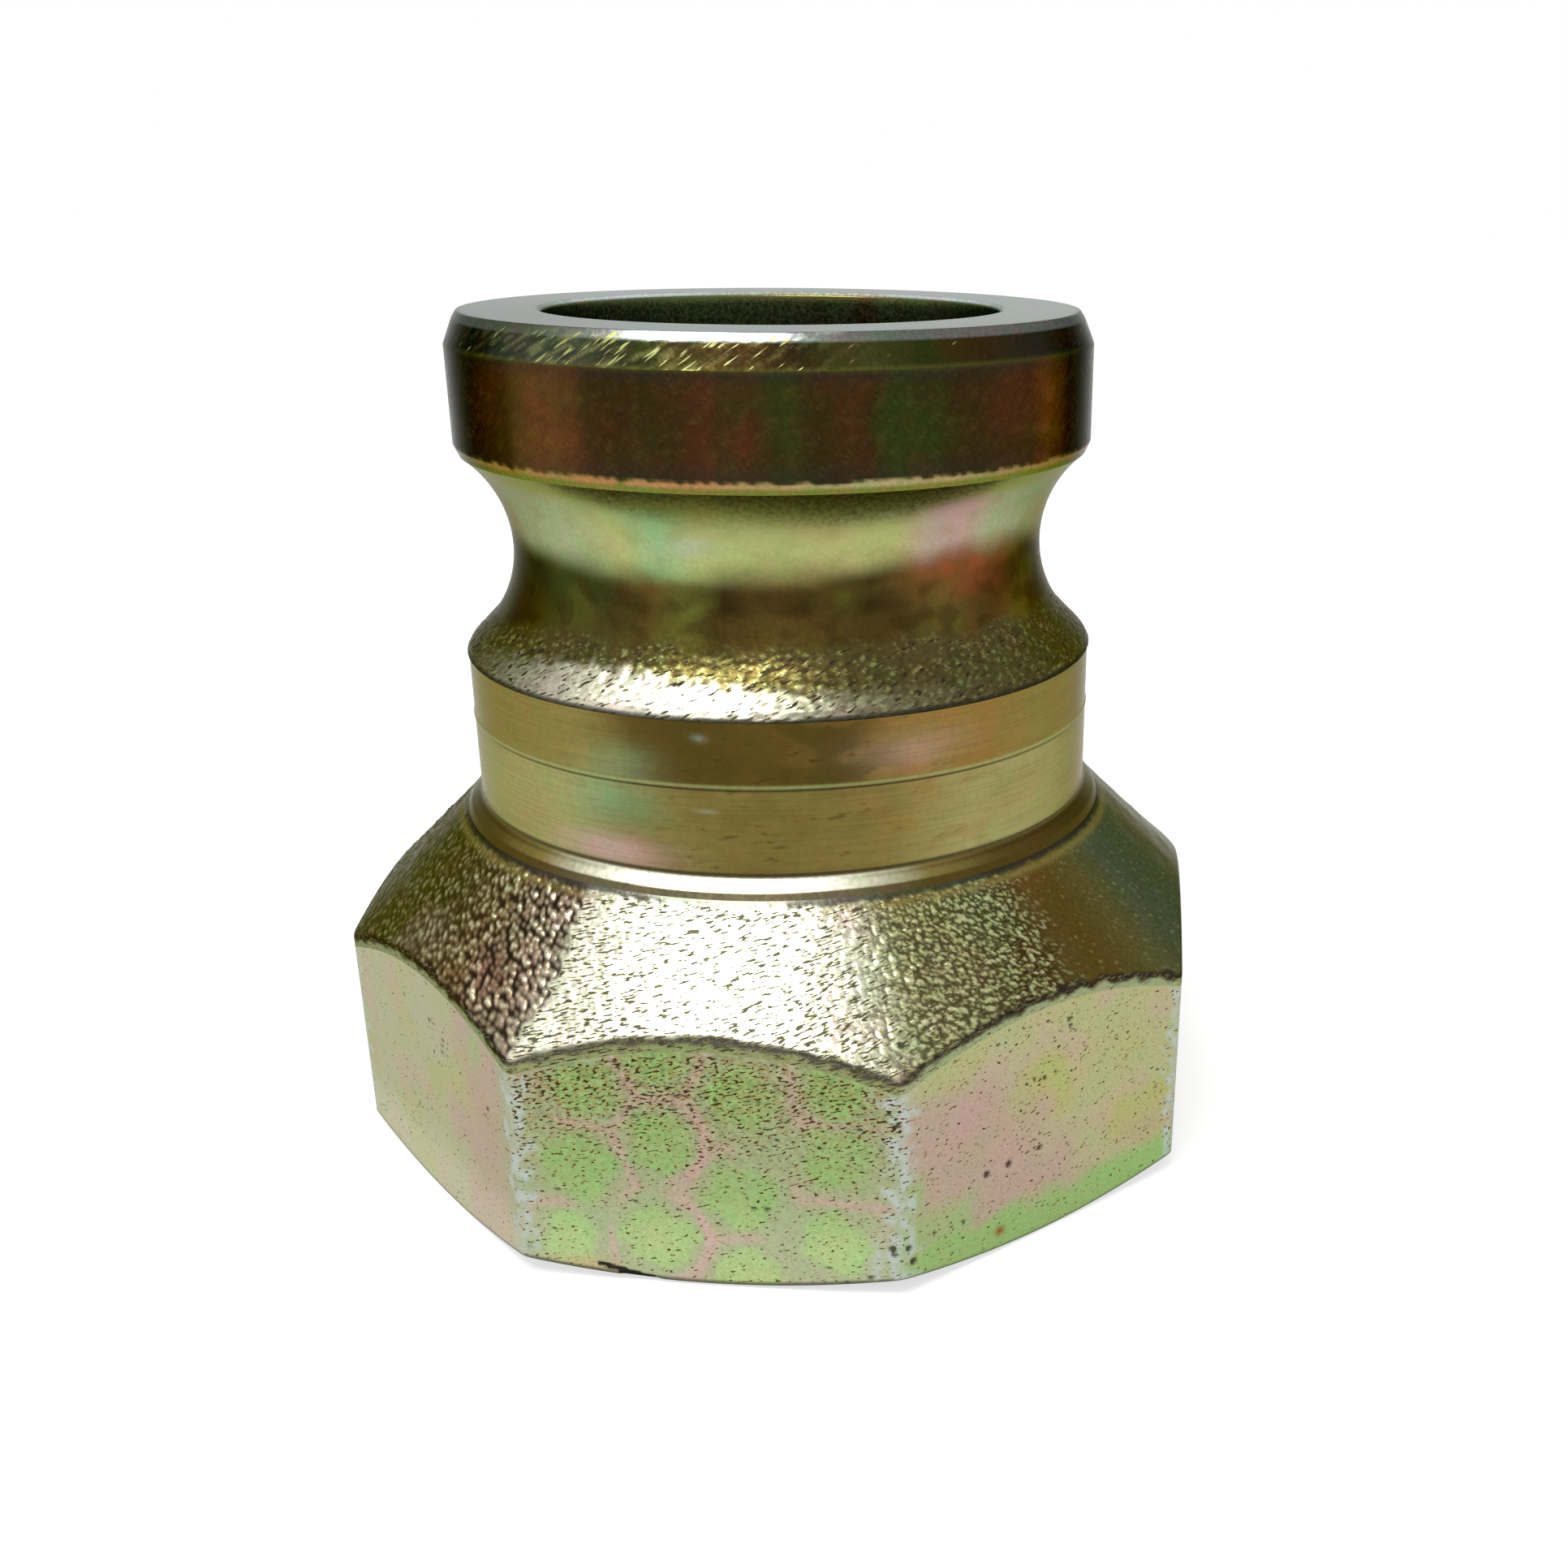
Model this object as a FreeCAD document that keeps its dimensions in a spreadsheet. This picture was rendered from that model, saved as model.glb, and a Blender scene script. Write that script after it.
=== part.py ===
import FreeCAD, Part
import math
import os

import Sketcher

# Male cam-and-groove reducing adapter, 2 in head to 2 1/2 in pipe thread, turned from one steel forging.
# Millimetres. The origin is the centre of the base, +Z runs up the bore to the head, and one wrench
# flat faces -Y. Heights are stacked from the base and radii are worked out from the head and the
# thread, so each size below can change by itself.

SIZES = [
    ("head_diameter", 62.9, "head that enters the coupler"),
    ("head_land", 9.1, "straight length of the head"),
    ("head_chamfer_width", 1.25, "chamfer round the head's face, across"),
    ("head_chamfer_height", 3.0, "chamfer round the head's face, along the axis"),
    ("head_break_width", 0.45, "broken edge under the head, across"),
    ("head_break_height", 1.0, "broken edge under the head, along the axis"),
    ("cam_groove_depth", 4.85, "bottom of the cam groove, inside the head"),
    ("cam_groove_radius", 11.7, "radius of the cam groove's section"),
    ("cam_groove_run_out", 2.3, "rise of the groove to where it leaves into the rough shoulder"),
    ("shoulder_angle", 45.0, "slope of the rough shoulder"),
    ("shoulder_overhang", 0.3, "how far the rough shoulder stands outside the collar"),
    ("shoulder_lip_width", 0.55, "steeper lip of the rough shoulder, across"),
    ("shoulder_lip_height", 0.95, "steeper lip of the rough shoulder, along the axis"),
    ("collar_growth", 0.35, "how far the collar stands outside the head"),
    ("collar_length", 14.5, "turned collar, from its foot fillet to the rough shoulder"),
    ("foot_fillet", 1.2, "fillet at the collar's foot"),
    ("foot_lip_width", 0.35, "turned lip beyond the fillet, across"),
    ("foot_lip_height", 0.55, "turned lip beyond the fillet, along the axis"),
    ("dome_rise", 13.1, "height of the forged dome"),
    ("flat_count", 8, "number of wrench flats"),
    ("socket_wall", 5.16, "wall between the thread's roots and a wrench flat"),
    ("corner_round", 2.0, "rounding between neighbouring flats"),
    ("crest_chamfer", 0.6, "broken edge between the flats and the dome"),
    ("blank_allowance", 0.6, "forging outside the corners before the flats are cut"),
    ("base_setback", 0.6, "how far the base circle lies inside the flats"),
    ("base_chamfer_angle", 25.0, "slope of the turned chamfer round the base"),
    ("thread_major_diameter", 75.18, "pipe thread, G 2 1/2, at its roots"),
    ("thread_pitch", 2.309, "11 threads to the inch"),
    ("thread_entry", 0.6, "how far the countersink opens past the thread's roots"),
    ("thread_length", 19.35, "full thread, from the base"),
    ("relief_depth", 0.4, "how far the run-out relief lies outside the thread's roots"),
    ("relief_length", 4.0, "length of the run-out relief"),
    ("relief_below_dome", 1.6, "how far the dome's edge lies below the end of the relief"),
    ("seat_width", 3.1, "stop above the relief, inside the thread's crests"),
    ("taper_angle", 45.0, "slope of the taper between the stop and the bore"),
    ("neck_wall", 4.3, "wall between the cam groove and the bore"),
    ("bore_break", 0.4, "broken edge at the bore's mouth"),
]

# Depth of a 55 degree pipe thread, as a share of its pitch.
THREAD_DEPTH = 0.640327

# Radii, as expressions on the sheet.
HEAD = "Sizes.head_diameter / 2"
HEAD_FACE = HEAD + " - Sizes.head_chamfer_width"
HEAD_EDGE = HEAD + " - Sizes.head_break_width"
GROOVE_BOTTOM = HEAD + " - Sizes.cam_groove_depth"
GROOVE_END = GROOVE_BOTTOM + " + Sizes.cam_groove_run_out"
COLLAR = HEAD + " + Sizes.collar_growth"
SHOULDER = COLLAR + " + Sizes.shoulder_overhang"
SHOULDER_LIP = SHOULDER + " - Sizes.shoulder_lip_width"
FOOT = COLLAR + " + Sizes.foot_fillet"
DOME_TOP = FOOT + " + Sizes.foot_lip_width"
THREAD_ROOT = "Sizes.thread_major_diameter / 2"
THREAD_CREST = THREAD_ROOT + " - %s * Sizes.thread_pitch" % THREAD_DEPTH
MOUTH = THREAD_ROOT + " + Sizes.thread_entry"
RELIEF = THREAD_ROOT + " + Sizes.relief_depth"
SEAT = THREAD_CREST + " - Sizes.seat_width"
BORE = GROOVE_BOTTOM + " - Sizes.neck_wall"
BORE_MOUTH = BORE + " + Sizes.bore_break"
FLAT = THREAD_ROOT + " + Sizes.socket_wall"
CORNER = "(%s) / cos(180 deg / Sizes.flat_count)" % FLAT
BLANK = CORNER + " + Sizes.blank_allowance"
BASE = FLAT + " - Sizes.base_setback"


def groove_rise(across):
    """Height from the middle of the cam groove to where its section is that far from its bottom."""
    reach = "Sizes.cam_groove_radius"
    return "sqrt(%s ^ 2 - (%s - (%s)) ^ 2)" % (reach, reach, across)


# Heights above the base, as expressions on the sheet.
SOCKET_END_HEIGHT = "Sizes.thread_length + Sizes.relief_length"
TAPER_END_HEIGHT = SOCKET_END_HEIGHT + " + (%s - (%s)) * tan(Sizes.taper_angle * 1 deg)" % (SEAT, BORE)
DOME_EDGE_HEIGHT = SOCKET_END_HEIGHT + " - Sizes.relief_below_dome"
DOME_TOP_HEIGHT = DOME_EDGE_HEIGHT + " + Sizes.dome_rise"
FOOT_HEIGHT = DOME_TOP_HEIGHT + " + Sizes.foot_lip_height"
COLLAR_HEIGHT = FOOT_HEIGHT + " + Sizes.foot_fillet"
SHOULDER_HEIGHT = COLLAR_HEIGHT + " + Sizes.collar_length"
SHOULDER_LIP_HEIGHT = SHOULDER_HEIGHT + " + Sizes.shoulder_lip_height"
GROOVE_END_HEIGHT = SHOULDER_LIP_HEIGHT + " + (%s - (%s)) * tan(Sizes.shoulder_angle * 1 deg)" % (
    SHOULDER_LIP, GROOVE_END)
HEAD_EDGE_HEIGHT = GROOVE_END_HEIGHT + " + %s + %s" % (
    groove_rise("Sizes.cam_groove_run_out"),
    groove_rise("Sizes.cam_groove_depth - Sizes.head_break_width"))
HEAD_HEIGHT = HEAD_EDGE_HEIGHT + " + Sizes.head_break_height"
CHAMFER_HEIGHT = HEAD_HEIGHT + " + Sizes.head_land"
TOP_HEIGHT = CHAMFER_HEIGHT + " + Sizes.head_chamfer_height"
BASE_CHAMFER_HEIGHT = "(%s - (%s)) * tan(Sizes.base_chamfer_angle * 1 deg)" % (BLANK, BASE)


def add_sizes(doc):
    """Puts each size into the sheet, with its name before it and what it measures after it."""
    sheet = doc.addObject("Spreadsheet::Sheet", "Sizes")
    for row, (alias, value, meaning) in enumerate(SIZES, start=1):
        sheet.set("A%d" % row, alias)
        sheet.set("B%d" % row, str(value))
        sheet.set("C%d" % row, meaning)
        sheet.setAlias("B%d" % row, alias)
    doc.recompute()


def worked_out(body, expression):
    """Gives an expression's value now, so that a sketch is drawn near to where it ends."""
    value = body.evalExpression(expression)
    return getattr(value, "Value", value)


def new_sketch(body, name, role):
    """Makes an empty sketch on one of the body's own origin planes."""
    sketch = body.newObject("Sketcher::SketchObject", name)
    plane = next(feature for feature in body.Origin.OriginFeatures if feature.Role == role)
    sketch.AttachmentSupport = [(plane, "")]
    sketch.MapMode = "FlatFace"
    return sketch


def bind(sketch, constraint, name, expression):
    """Adds a constraint that the sheet drives."""
    sketch.renameConstraint(sketch.addConstraint(constraint), name)
    sketch.setExpression("Constraints." + name, expression)


def hollow_arc(start, end, radius):
    """Gives the arc that bulges into the metal. It runs from the second corner to the first."""
    half = (end - start) * 0.5
    out_of_metal = FreeCAD.Vector(half.y, -half.x, 0).normalize()
    centre = start + half + out_of_metal * math.sqrt(radius ** 2 - half.Length ** 2)
    return Part.ArcOfCircle(
        Part.Circle(centre, FreeCAD.Vector(0, 0, 1), radius),
        math.atan2(end.y - centre.y, end.x - centre.x),
        math.atan2(start.y - centre.y, start.x - centre.x))


def add_section(body, name, corners):
    """Draws a closed half section. Each corner is its name, radius and height, and the radius of
    the hollow arc that leads to the next corner, if any. The way round keeps the metal on its left."""
    sketch = new_sketch(body, name, "XZ_Plane")
    count = len(corners)
    places = [
        FreeCAD.Vector(worked_out(body, across), worked_out(body, up), 0)
        for _, across, up, _ in corners]
    for index, (_, _, _, arc) in enumerate(corners):
        start, end = places[index], places[(index + 1) % count]
        if arc is None:
            sketch.addGeometry(Part.LineSegment(start, end))
        else:
            sketch.addGeometry(hollow_arc(start, end, worked_out(body, arc)))
    starts = [1 if arc is None else 2 for _, _, _, arc in corners]
    for index in range(count):
        sketch.addConstraint(Sketcher.Constraint(
            "Coincident", index, 3 - starts[index], (index + 1) % count, starts[(index + 1) % count]))
    for index, (corner, across, up, arc) in enumerate(corners):
        for kind, expression, value, suffix, axis in (
                ("DistanceX", across, places[index].x, "_radius", -2),
                ("DistanceY", up, places[index].y, "_height", -1)):
            if expression == "0":
                sketch.addConstraint(Sketcher.Constraint("PointOnObject", index, starts[index], axis))
            else:
                bind(sketch, Sketcher.Constraint(kind, -1, 1, index, starts[index], value),
                     corner + suffix, expression)
        if arc is not None:
            bind(sketch, Sketcher.Constraint("Radius", index, worked_out(body, arc)),
                 corner + "_arc", arc)
    return sketch


def add_forging(body):
    """The outside, turned and forged, as one revolved section from the axis outwards."""
    sketch = add_section(body, "forging_section", [
        ("base_centre", "0", "0", None),
        ("base", BASE, "0", None),
        ("chamfer", BLANK, BASE_CHAMFER_HEIGHT, None),
        ("dome_edge", BLANK, DOME_EDGE_HEIGHT, None),
        ("dome_top", DOME_TOP, DOME_TOP_HEIGHT, None),
        ("foot", FOOT, FOOT_HEIGHT, "Sizes.foot_fillet"),
        ("collar", COLLAR, COLLAR_HEIGHT, None),
        ("under_shoulder", COLLAR, SHOULDER_HEIGHT, None),
        ("shoulder", SHOULDER, SHOULDER_HEIGHT, None),
        ("shoulder_lip", SHOULDER_LIP, SHOULDER_LIP_HEIGHT, None),
        ("groove_end", GROOVE_END, GROOVE_END_HEIGHT, "Sizes.cam_groove_radius"),
        ("head_edge", HEAD_EDGE, HEAD_EDGE_HEIGHT, None),
        ("head", HEAD, HEAD_HEIGHT, None),
        ("head_chamfer", HEAD, CHAMFER_HEIGHT, None),
        ("face", HEAD_FACE, TOP_HEIGHT, None),
        ("face_centre", "0", TOP_HEIGHT, None),
    ])
    forging = body.newObject("PartDesign::Revolution", "forging")
    forging.Profile = sketch
    forging.ReferenceAxis = (sketch, ["V_Axis"])
    forging.Angle = 360


def add_waterway(body):
    """The threaded socket at its crests, its relief and stop, the taper and the bore."""
    sketch = add_section(body, "waterway_section", [
        ("base_centre", "0", "0", None),
        ("mouth", MOUTH, "0", None),
        ("first_crest", THREAD_CREST, MOUTH + " - (%s)" % THREAD_CREST, None),
        ("last_crest", THREAD_CREST, "Sizes.thread_length", None),
        ("relief", RELIEF, "Sizes.thread_length + %s - (%s)" % (RELIEF, THREAD_CREST), None),
        ("relief_end", RELIEF, SOCKET_END_HEIGHT, None),
        ("stop", SEAT, SOCKET_END_HEIGHT, None),
        ("taper_end", BORE, TAPER_END_HEIGHT, None),
        ("bore_break", BORE, TOP_HEIGHT + " - Sizes.bore_break", None),
        ("bore_mouth", BORE_MOUTH, TOP_HEIGHT, None),
        ("face_centre", "0", TOP_HEIGHT, None),
    ])
    waterway = body.newObject("PartDesign::Groove", "waterway")
    waterway.Profile = sketch
    waterway.ReferenceAxis = (sketch, ["V_Axis"])
    waterway.Angle = 360


def add_flats(body):
    """Cuts the wrench flats: a ring between a regular polygon and a circle outside the blank."""
    sketch = new_sketch(body, "flats_outline", "XY_Plane")
    count = round(worked_out(body, "Sizes.flat_count"))
    corner = worked_out(body, CORNER)
    places = [
        FreeCAD.Vector(
            corner * math.sin(math.pi * (2 * index - 1) / count),
            -corner * math.cos(math.pi * (2 * index - 1) / count), 0)
        for index in range(count)]
    for index in range(count):
        sketch.addGeometry(Part.LineSegment(places[index], places[(index + 1) % count]))
    guide = sketch.addGeometry(Part.Circle(FreeCAD.Vector(), FreeCAD.Vector(0, 0, 1), corner), True)
    clear = sketch.addGeometry(Part.Circle(FreeCAD.Vector(), FreeCAD.Vector(0, 0, 1), 2 * corner))
    for circle in (guide, clear):
        sketch.addConstraint(Sketcher.Constraint("Coincident", circle, 3, -1, 1))
    for index in range(count):
        following = (index + 1) % count
        sketch.addConstraint(Sketcher.Constraint("Coincident", index, 2, following, 1))
        sketch.addConstraint(Sketcher.Constraint("PointOnObject", index, 1, guide))
        if index:
            sketch.addConstraint(Sketcher.Constraint("Equal", 0, index))
    sketch.addConstraint(Sketcher.Constraint("Horizontal", 0))
    bind(sketch, Sketcher.Constraint("Radius", guide, corner), "corner_radius", CORNER)
    bind(sketch, Sketcher.Constraint("Radius", clear, 2 * corner), "clear_radius", "2 * " + CORNER)
    flats = body.newObject("PartDesign::Pocket", "flats")
    flats.Profile = sketch
    flats.Reversed = True
    flats.setExpression("Length", DOME_TOP_HEIGHT)


def dress_edges(body, kind, name, size, expression, wanted):
    """Rounds or chamfers the edges of the body so far that the test picks out."""
    base = body.Tip
    edges = ["Edge%d" % number
             for number, edge in enumerate(base.Shape.Edges, start=1) if wanted(edge)]
    if not edges:
        raise RuntimeError("no edges for " + name)
    dressing = body.newObject(kind, name)
    dressing.Base = (base, edges)
    dressing.setExpression(size, expression)
    body.Document.recompute()


def add_corner_rounds(body):
    """Rounds the upright edges between the flats."""
    corner = worked_out(body, CORNER)

    def upright(edge):
        straight = edge.Curve.TypeId == "Part::GeomLine"
        reach = math.hypot(edge.CenterOfMass.x, edge.CenterOfMass.y)
        return straight and edge.BoundBox.ZLength > 1 and abs(reach - corner) < 0.01 * corner

    dress_edges(body, "PartDesign::Fillet", "corner_rounds", "Radius", "Sizes.corner_round", upright)


def add_crest_chamfer(body):
    """Breaks the crests, where the flats and their rounded corners run up into the dome."""
    flat = worked_out(body, FLAT)
    half_way = 0.5 * worked_out(body, DOME_EDGE_HEIGHT)

    def crest(edge):
        middle = edge.CenterOfMass
        lies_outside = math.hypot(middle.x, middle.y) > 0.98 * flat
        return lies_outside and edge.BoundBox.ZLength < half_way < middle.z

    dress_edges(body, "PartDesign::Chamfer", "crest_chamfer", "Size", "Sizes.crest_chamfer", crest)


def build_adapter(doc):
    """The adapter is one piece of steel, so it is one body."""
    body = doc.addObject("PartDesign::Body", "adapter_body")
    body.Label = "adapter_body"
    body.Placement = FreeCAD.Placement()
    add_forging(body)
    doc.recompute()
    add_waterway(body)
    add_flats(body)
    doc.recompute()
    add_corner_rounds(body)
    add_crest_chamfer(body)
    return body


def check(doc, bodies):
    """Stops where an object failed or a body isn't one whole solid."""
    for thing in doc.Objects:
        if "Invalid" in thing.State or "Error" in thing.State:
            raise RuntimeError("%s failed: %s" % (thing.Name, thing.State))
    for body in bodies:
        if body.Shape.isNull() or not body.Shape.isValid() or len(body.Shape.Solids) != 1:
            raise RuntimeError(body.Label + " isn't one valid solid")


def main():
    doc = FreeCAD.newDocument("cam_groove_reducer")
    add_sizes(doc)
    bodies = [build_adapter(doc)]
    doc.recompute()
    check(doc, bodies)
    os.makedirs("parts", exist_ok=True)
    for body in bodies:
        body.Shape.exportStep("parts/%s.step" % body.Label)
        box = body.Shape.BoundBox
        print("%s: %.2f x %.2f x %.2f mm, %.0f mm3, %d faces" % (
            body.Label, box.XLength, box.YLength, box.ZLength,
            body.Shape.Volume, len(body.Shape.Faces)))


main()
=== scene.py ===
import math
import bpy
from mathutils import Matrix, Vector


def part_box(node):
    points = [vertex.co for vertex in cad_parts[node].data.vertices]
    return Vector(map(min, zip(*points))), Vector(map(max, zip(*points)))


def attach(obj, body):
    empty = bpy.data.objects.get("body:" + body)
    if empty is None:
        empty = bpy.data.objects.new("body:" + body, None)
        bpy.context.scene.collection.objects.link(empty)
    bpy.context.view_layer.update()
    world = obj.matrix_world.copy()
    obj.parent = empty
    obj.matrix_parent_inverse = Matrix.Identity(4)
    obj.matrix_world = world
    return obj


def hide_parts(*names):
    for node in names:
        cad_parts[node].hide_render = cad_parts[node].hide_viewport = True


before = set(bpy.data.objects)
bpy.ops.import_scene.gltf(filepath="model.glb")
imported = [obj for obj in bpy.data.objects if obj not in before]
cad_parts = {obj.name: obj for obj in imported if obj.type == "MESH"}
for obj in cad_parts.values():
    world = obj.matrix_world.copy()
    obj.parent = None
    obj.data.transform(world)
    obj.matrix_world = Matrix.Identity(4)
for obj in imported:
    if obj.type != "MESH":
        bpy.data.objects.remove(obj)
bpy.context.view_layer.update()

from types import SimpleNamespace

import bpy
import numpy as np
from bpy.props import FloatProperty, FloatVectorProperty, PointerProperty
from mathutils import Matrix, Vector

bl_info = {
    "name": "Camlock Reducer Finish",
    "version": (1, 0, 0),
    "blender": (4, 5, 0),
    "location": "3D View > Sidebar > Reducer",
    "description": "Turned, forged and chromated surfaces of a camlock reducer, and the studio round it",
    "category": "Add Mesh",
}

# Inside this file lengths are millimetres. The frame and the meshes are in metres.
MM = 0.001
NODE = "adapter_body"
BODY = "root"
FULL_TURN = 360.0
FLATS = 8
FLAT_TURN = FULL_TURN / FLATS
HALF_FLAT = FLAT_TURN / 2
# A pattern repeats after this many cells in height, which is more than any surface has.
NOISE_ROWS = 64
# The depth of a 55 degree pipe thread, as a share of its pitch.
THREAD_DEPTH = 0.640327


def linear(code):
    """An sRGB hex colour as linear red, green and blue."""
    parts = [int(code[i:i + 2], 16) / 255 for i in (1, 3, 5)]
    return tuple(c / 12.92 if c <= 0.04045 else ((c + 0.055) / 1.055) ** 2.4 for c in parts)


def length(name, description, millimetres):
    """A size that a user can change, kept in metres."""
    return FloatProperty(
        name=name, description=description, default=millimetres * MM, unit="LENGTH", precision=5
    )


def angle_size(name, description, degrees):
    """An angle that a user can change, kept in radians."""
    return FloatProperty(name=name, description=description, default=math.radians(degrees), subtype="ANGLE")


def colour(name, description, code):
    """A colour that a user can change, kept as linear light."""
    return FloatVectorProperty(
        name=name, description=description, default=linear(code), size=3, subtype="COLOR", min=0, max=1
    )


BOX_LOW, BOX_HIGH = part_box(NODE)


class ReducerSizes(bpy.types.PropertyGroup):
    """The driving sizes of the fitting, as its turning and forging drawings give them."""

    height: length("Height", "Base to coupling face", BOX_HIGH.z / MM)
    across_flats: length("Across flats", "Between opposite wrench flats", (BOX_HIGH.x - BOX_LOW.x) / MM)
    head_diameter: length("Head diameter", "Turned head that enters the coupler", 62.9)
    head_land: length("Head land", "Straight length of the head", 9.1)
    head_chamfer_width: length("Head chamfer width", "Radial width of the lead-in", 1.25)
    head_chamfer_height: length("Head chamfer height", "Axial length of the lead-in", 3.0)
    head_break_width: length("Head break width", "Radial width of the lower edge break", 0.45)
    head_break_height: length("Head break height", "Axial length of the lower edge break", 1.0)
    edge_round: length("Edge round", "Rounding left on turned edges by the barrel and the plating", 0.35)
    face_facet: length("Face facet", "Worn facet between the coupling face and the lead-in", 0.65)
    groove_depth: length("Groove depth", "Depth of the cam groove below the head", 4.85)
    groove_radius: length("Groove radius", "Section radius of the cam groove", 11.7)
    groove_run_out: length("Groove run-out", "Rise of the groove's lower end above its bottom", 2.3)
    shoulder_radius: length("Shoulder radius", "Outer radius of the forged shoulder", 32.1)
    shoulder_lip_width: length("Shoulder lip width", "Radial width of the shoulder's lower lip", 0.55)
    shoulder_lip_height: length("Shoulder lip height", "Axial height of the shoulder's lower lip", 0.95)
    collar_radius: length("Collar radius", "Radius of the turned collar", 31.8)
    collar_length: length("Collar length", "Axial length of the turned collar", 14.5)
    witness_height: length("Witness height", "Height of the ridge where two cuts meet on the collar", 45.05)
    witness_width: length("Witness width", "Width of that ridge", 0.62)
    witness_rise: length("Witness rise", "How far that ridge stands proud", 0.1)
    foot_fillet: length("Foot fillet", "Fillet at the collar's foot", 1.2)
    foot_lip_width: length("Foot lip width", "Radial width of the lip outside the fillet", 0.35)
    foot_lip_height: length("Foot lip height", "Axial height of the lip outside the fillet", 0.55)
    dome_rise: length("Dome rise", "Height of the forged dome over its full radius", 13.1)
    dome_ridge: length("Dome ridge", "Height of the soft ridge that runs up the dome from each corner", 0.16)
    blank_allowance: length("Blank allowance", "Radial stock outside the octagon's corners", 0.6)
    corner_round: length("Corner round", "Rounding of the octagon's corners", 2.0)
    crest_round: length("Crest round", "Rounding where the flats run up into the dome", 1.1)
    crest_band: length("Crest band", "Height of the flats that belongs to the rolled crest", 0.9)
    base_setback: length("Base setback", "How far the base edge lies inside the flats", 0.6)
    base_angle: angle_size("Base chamfer angle", "Angle of the base chamfer above the base", 25)
    bore_radius: length("Bore radius", "Radius of the waterway through the spigot", 22.3)
    bore_break: length("Bore break", "Edge break at the bore's mouth", 0.4)
    thread_root: length("Thread root", "Radius at the roots of the internal pipe thread", 37.59)
    thread_pitch: length("Thread pitch", "Eleven threads to the inch", 2.309)
    thread_length: length("Thread length", "Base to the end of the full thread", 19.35)
    mouth_radius: length("Mouth radius", "Radius of the socket's countersunk mouth", 38.19)
    relief_radius: length("Relief radius", "Radius of the tool relief above the thread", 37.99)
    stop_height: length("Stop height", "Base to the stop that the pipe end meets", 23.35)
    stop_radius: length("Stop radius", "Inner radius of that stop", 33.011)
    skin_radius: length("Skin radius", "Radius where the base's outer and inner rings meet", 40.2)


class FilmColours(bpy.types.PropertyGroup):
    """The colours that the chromate film takes on as its thickness changes, and those that paint highlights,
    shade and dark reflections on it.
    """

    # Umber paints the head darker, a painted dark reflection over its brown film, and painted shade in
    # crevices, strokes and hollows elsewhere.
    umber: colour("Umber", "Thick film on the turned head", "#32250f")
    brown: colour("Brown", "Head film", "#5f3d1e")
    brick: colour("Brick", "Reddest head film", "#442715")
    moss: colour("Moss", "Green interference streaks on the head", "#2b3412")
    # Blue-black film, used mostly as painted shade and painted dark reflection: the head's sides, lines under
    # edges, the groove's lower half and the base chamfer.
    blue_black_and_shade: colour("Soot", "Blue-black film", "#262724")
    olive: colour("Olive", "Olive film", "#6d7030")
    # Light moss is only the painted reflection of the head's shade, in the groove just below the head.
    moss_light: colour("Light moss", "Olive-green film just below the head", "#959b57")
    bronze: colour("Bronze", "Dark golden film", "#54451f")
    forest: colour("Forest", "Dark green film in the groove", "#41441f")
    rust: colour("Rust red", "Red-brown film in the groove", "#85492b")
    lime: colour("Lime", "Pale yellow-green film", "#a0a76b")
    mint: colour("Mint", "Pale green film", "#8aab7a")
    frost: colour("Frost", "Pale bluish film", "#a3b3a2")
    rose: colour("Rose", "Pink interference film", "#ae9389")
    salmon: colour("Salmon", "Salmon net between the drying marks", "#b89a92")
    gold: colour("Gold", "Ochre film on the collar", "#80733f")
    ochre: colour("Ochre", "Warm ochre film on the collar", "#876a35")
    ochre_light: colour("Light ochre", "Yellow-orange film low on the front flat", "#b0a06c")
    straw: colour("Straw", "Pale straw film on the collar", "#96935f")
    tobacco: colour("Tobacco", "Dark brown film at the front of the collar", "#4b3e19")
    # Peach is only a painted highlight on the edge break below the head.
    peach: colour("Peach", "Edge break below the head", "#a5754e")
    forged: colour("Forged olive", "Film on the forged skin", "#57532f")
    cinder: colour("Cinder", "Brown-pink film on the hammered side of the dome", "#78614f")
    # Silver is mostly a painted highlight: at the front of the dome and shoulder, in the collar's fillet and
    # on the tops of beads.
    silver: colour("Silver", "Palest film on the forged skin", "#dddbc6")
    teal: colour("Teal", "Blue-green film on the forged skin", "#4b5645")
    khaki: colour("Khaki", "Film on the wrench flats", "#a8a888")
    sulphur: colour("Sulphur", "Yellow film on the wrench flats", "#a6a76c")
    leaf: colour("Leaf", "Round green drying marks on the front flat", "#8aae69")
    spring: colour("Spring green", "Brighter drying marks low on the front flat", "#a6c67c")
    sage: colour("Sage", "Grey-green film between the marks", "#99a37c")
    # Crest is painted shade over the rolled crest.
    crest: colour("Crest", "Thick film rolled over the crest", "#2c2420")
    zinc: colour("Zinc", "Bare zinc where the film has worn off", "#b0b8b2")
    steel: colour("Steel face", "Thin film on the coupling face", "#cad6d9")
    bore: colour("Bore", "Film inside the waterway", "#55613f")
    pit: colour("Pit", "Plating missing in a pit", "#1c1914")


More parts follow.
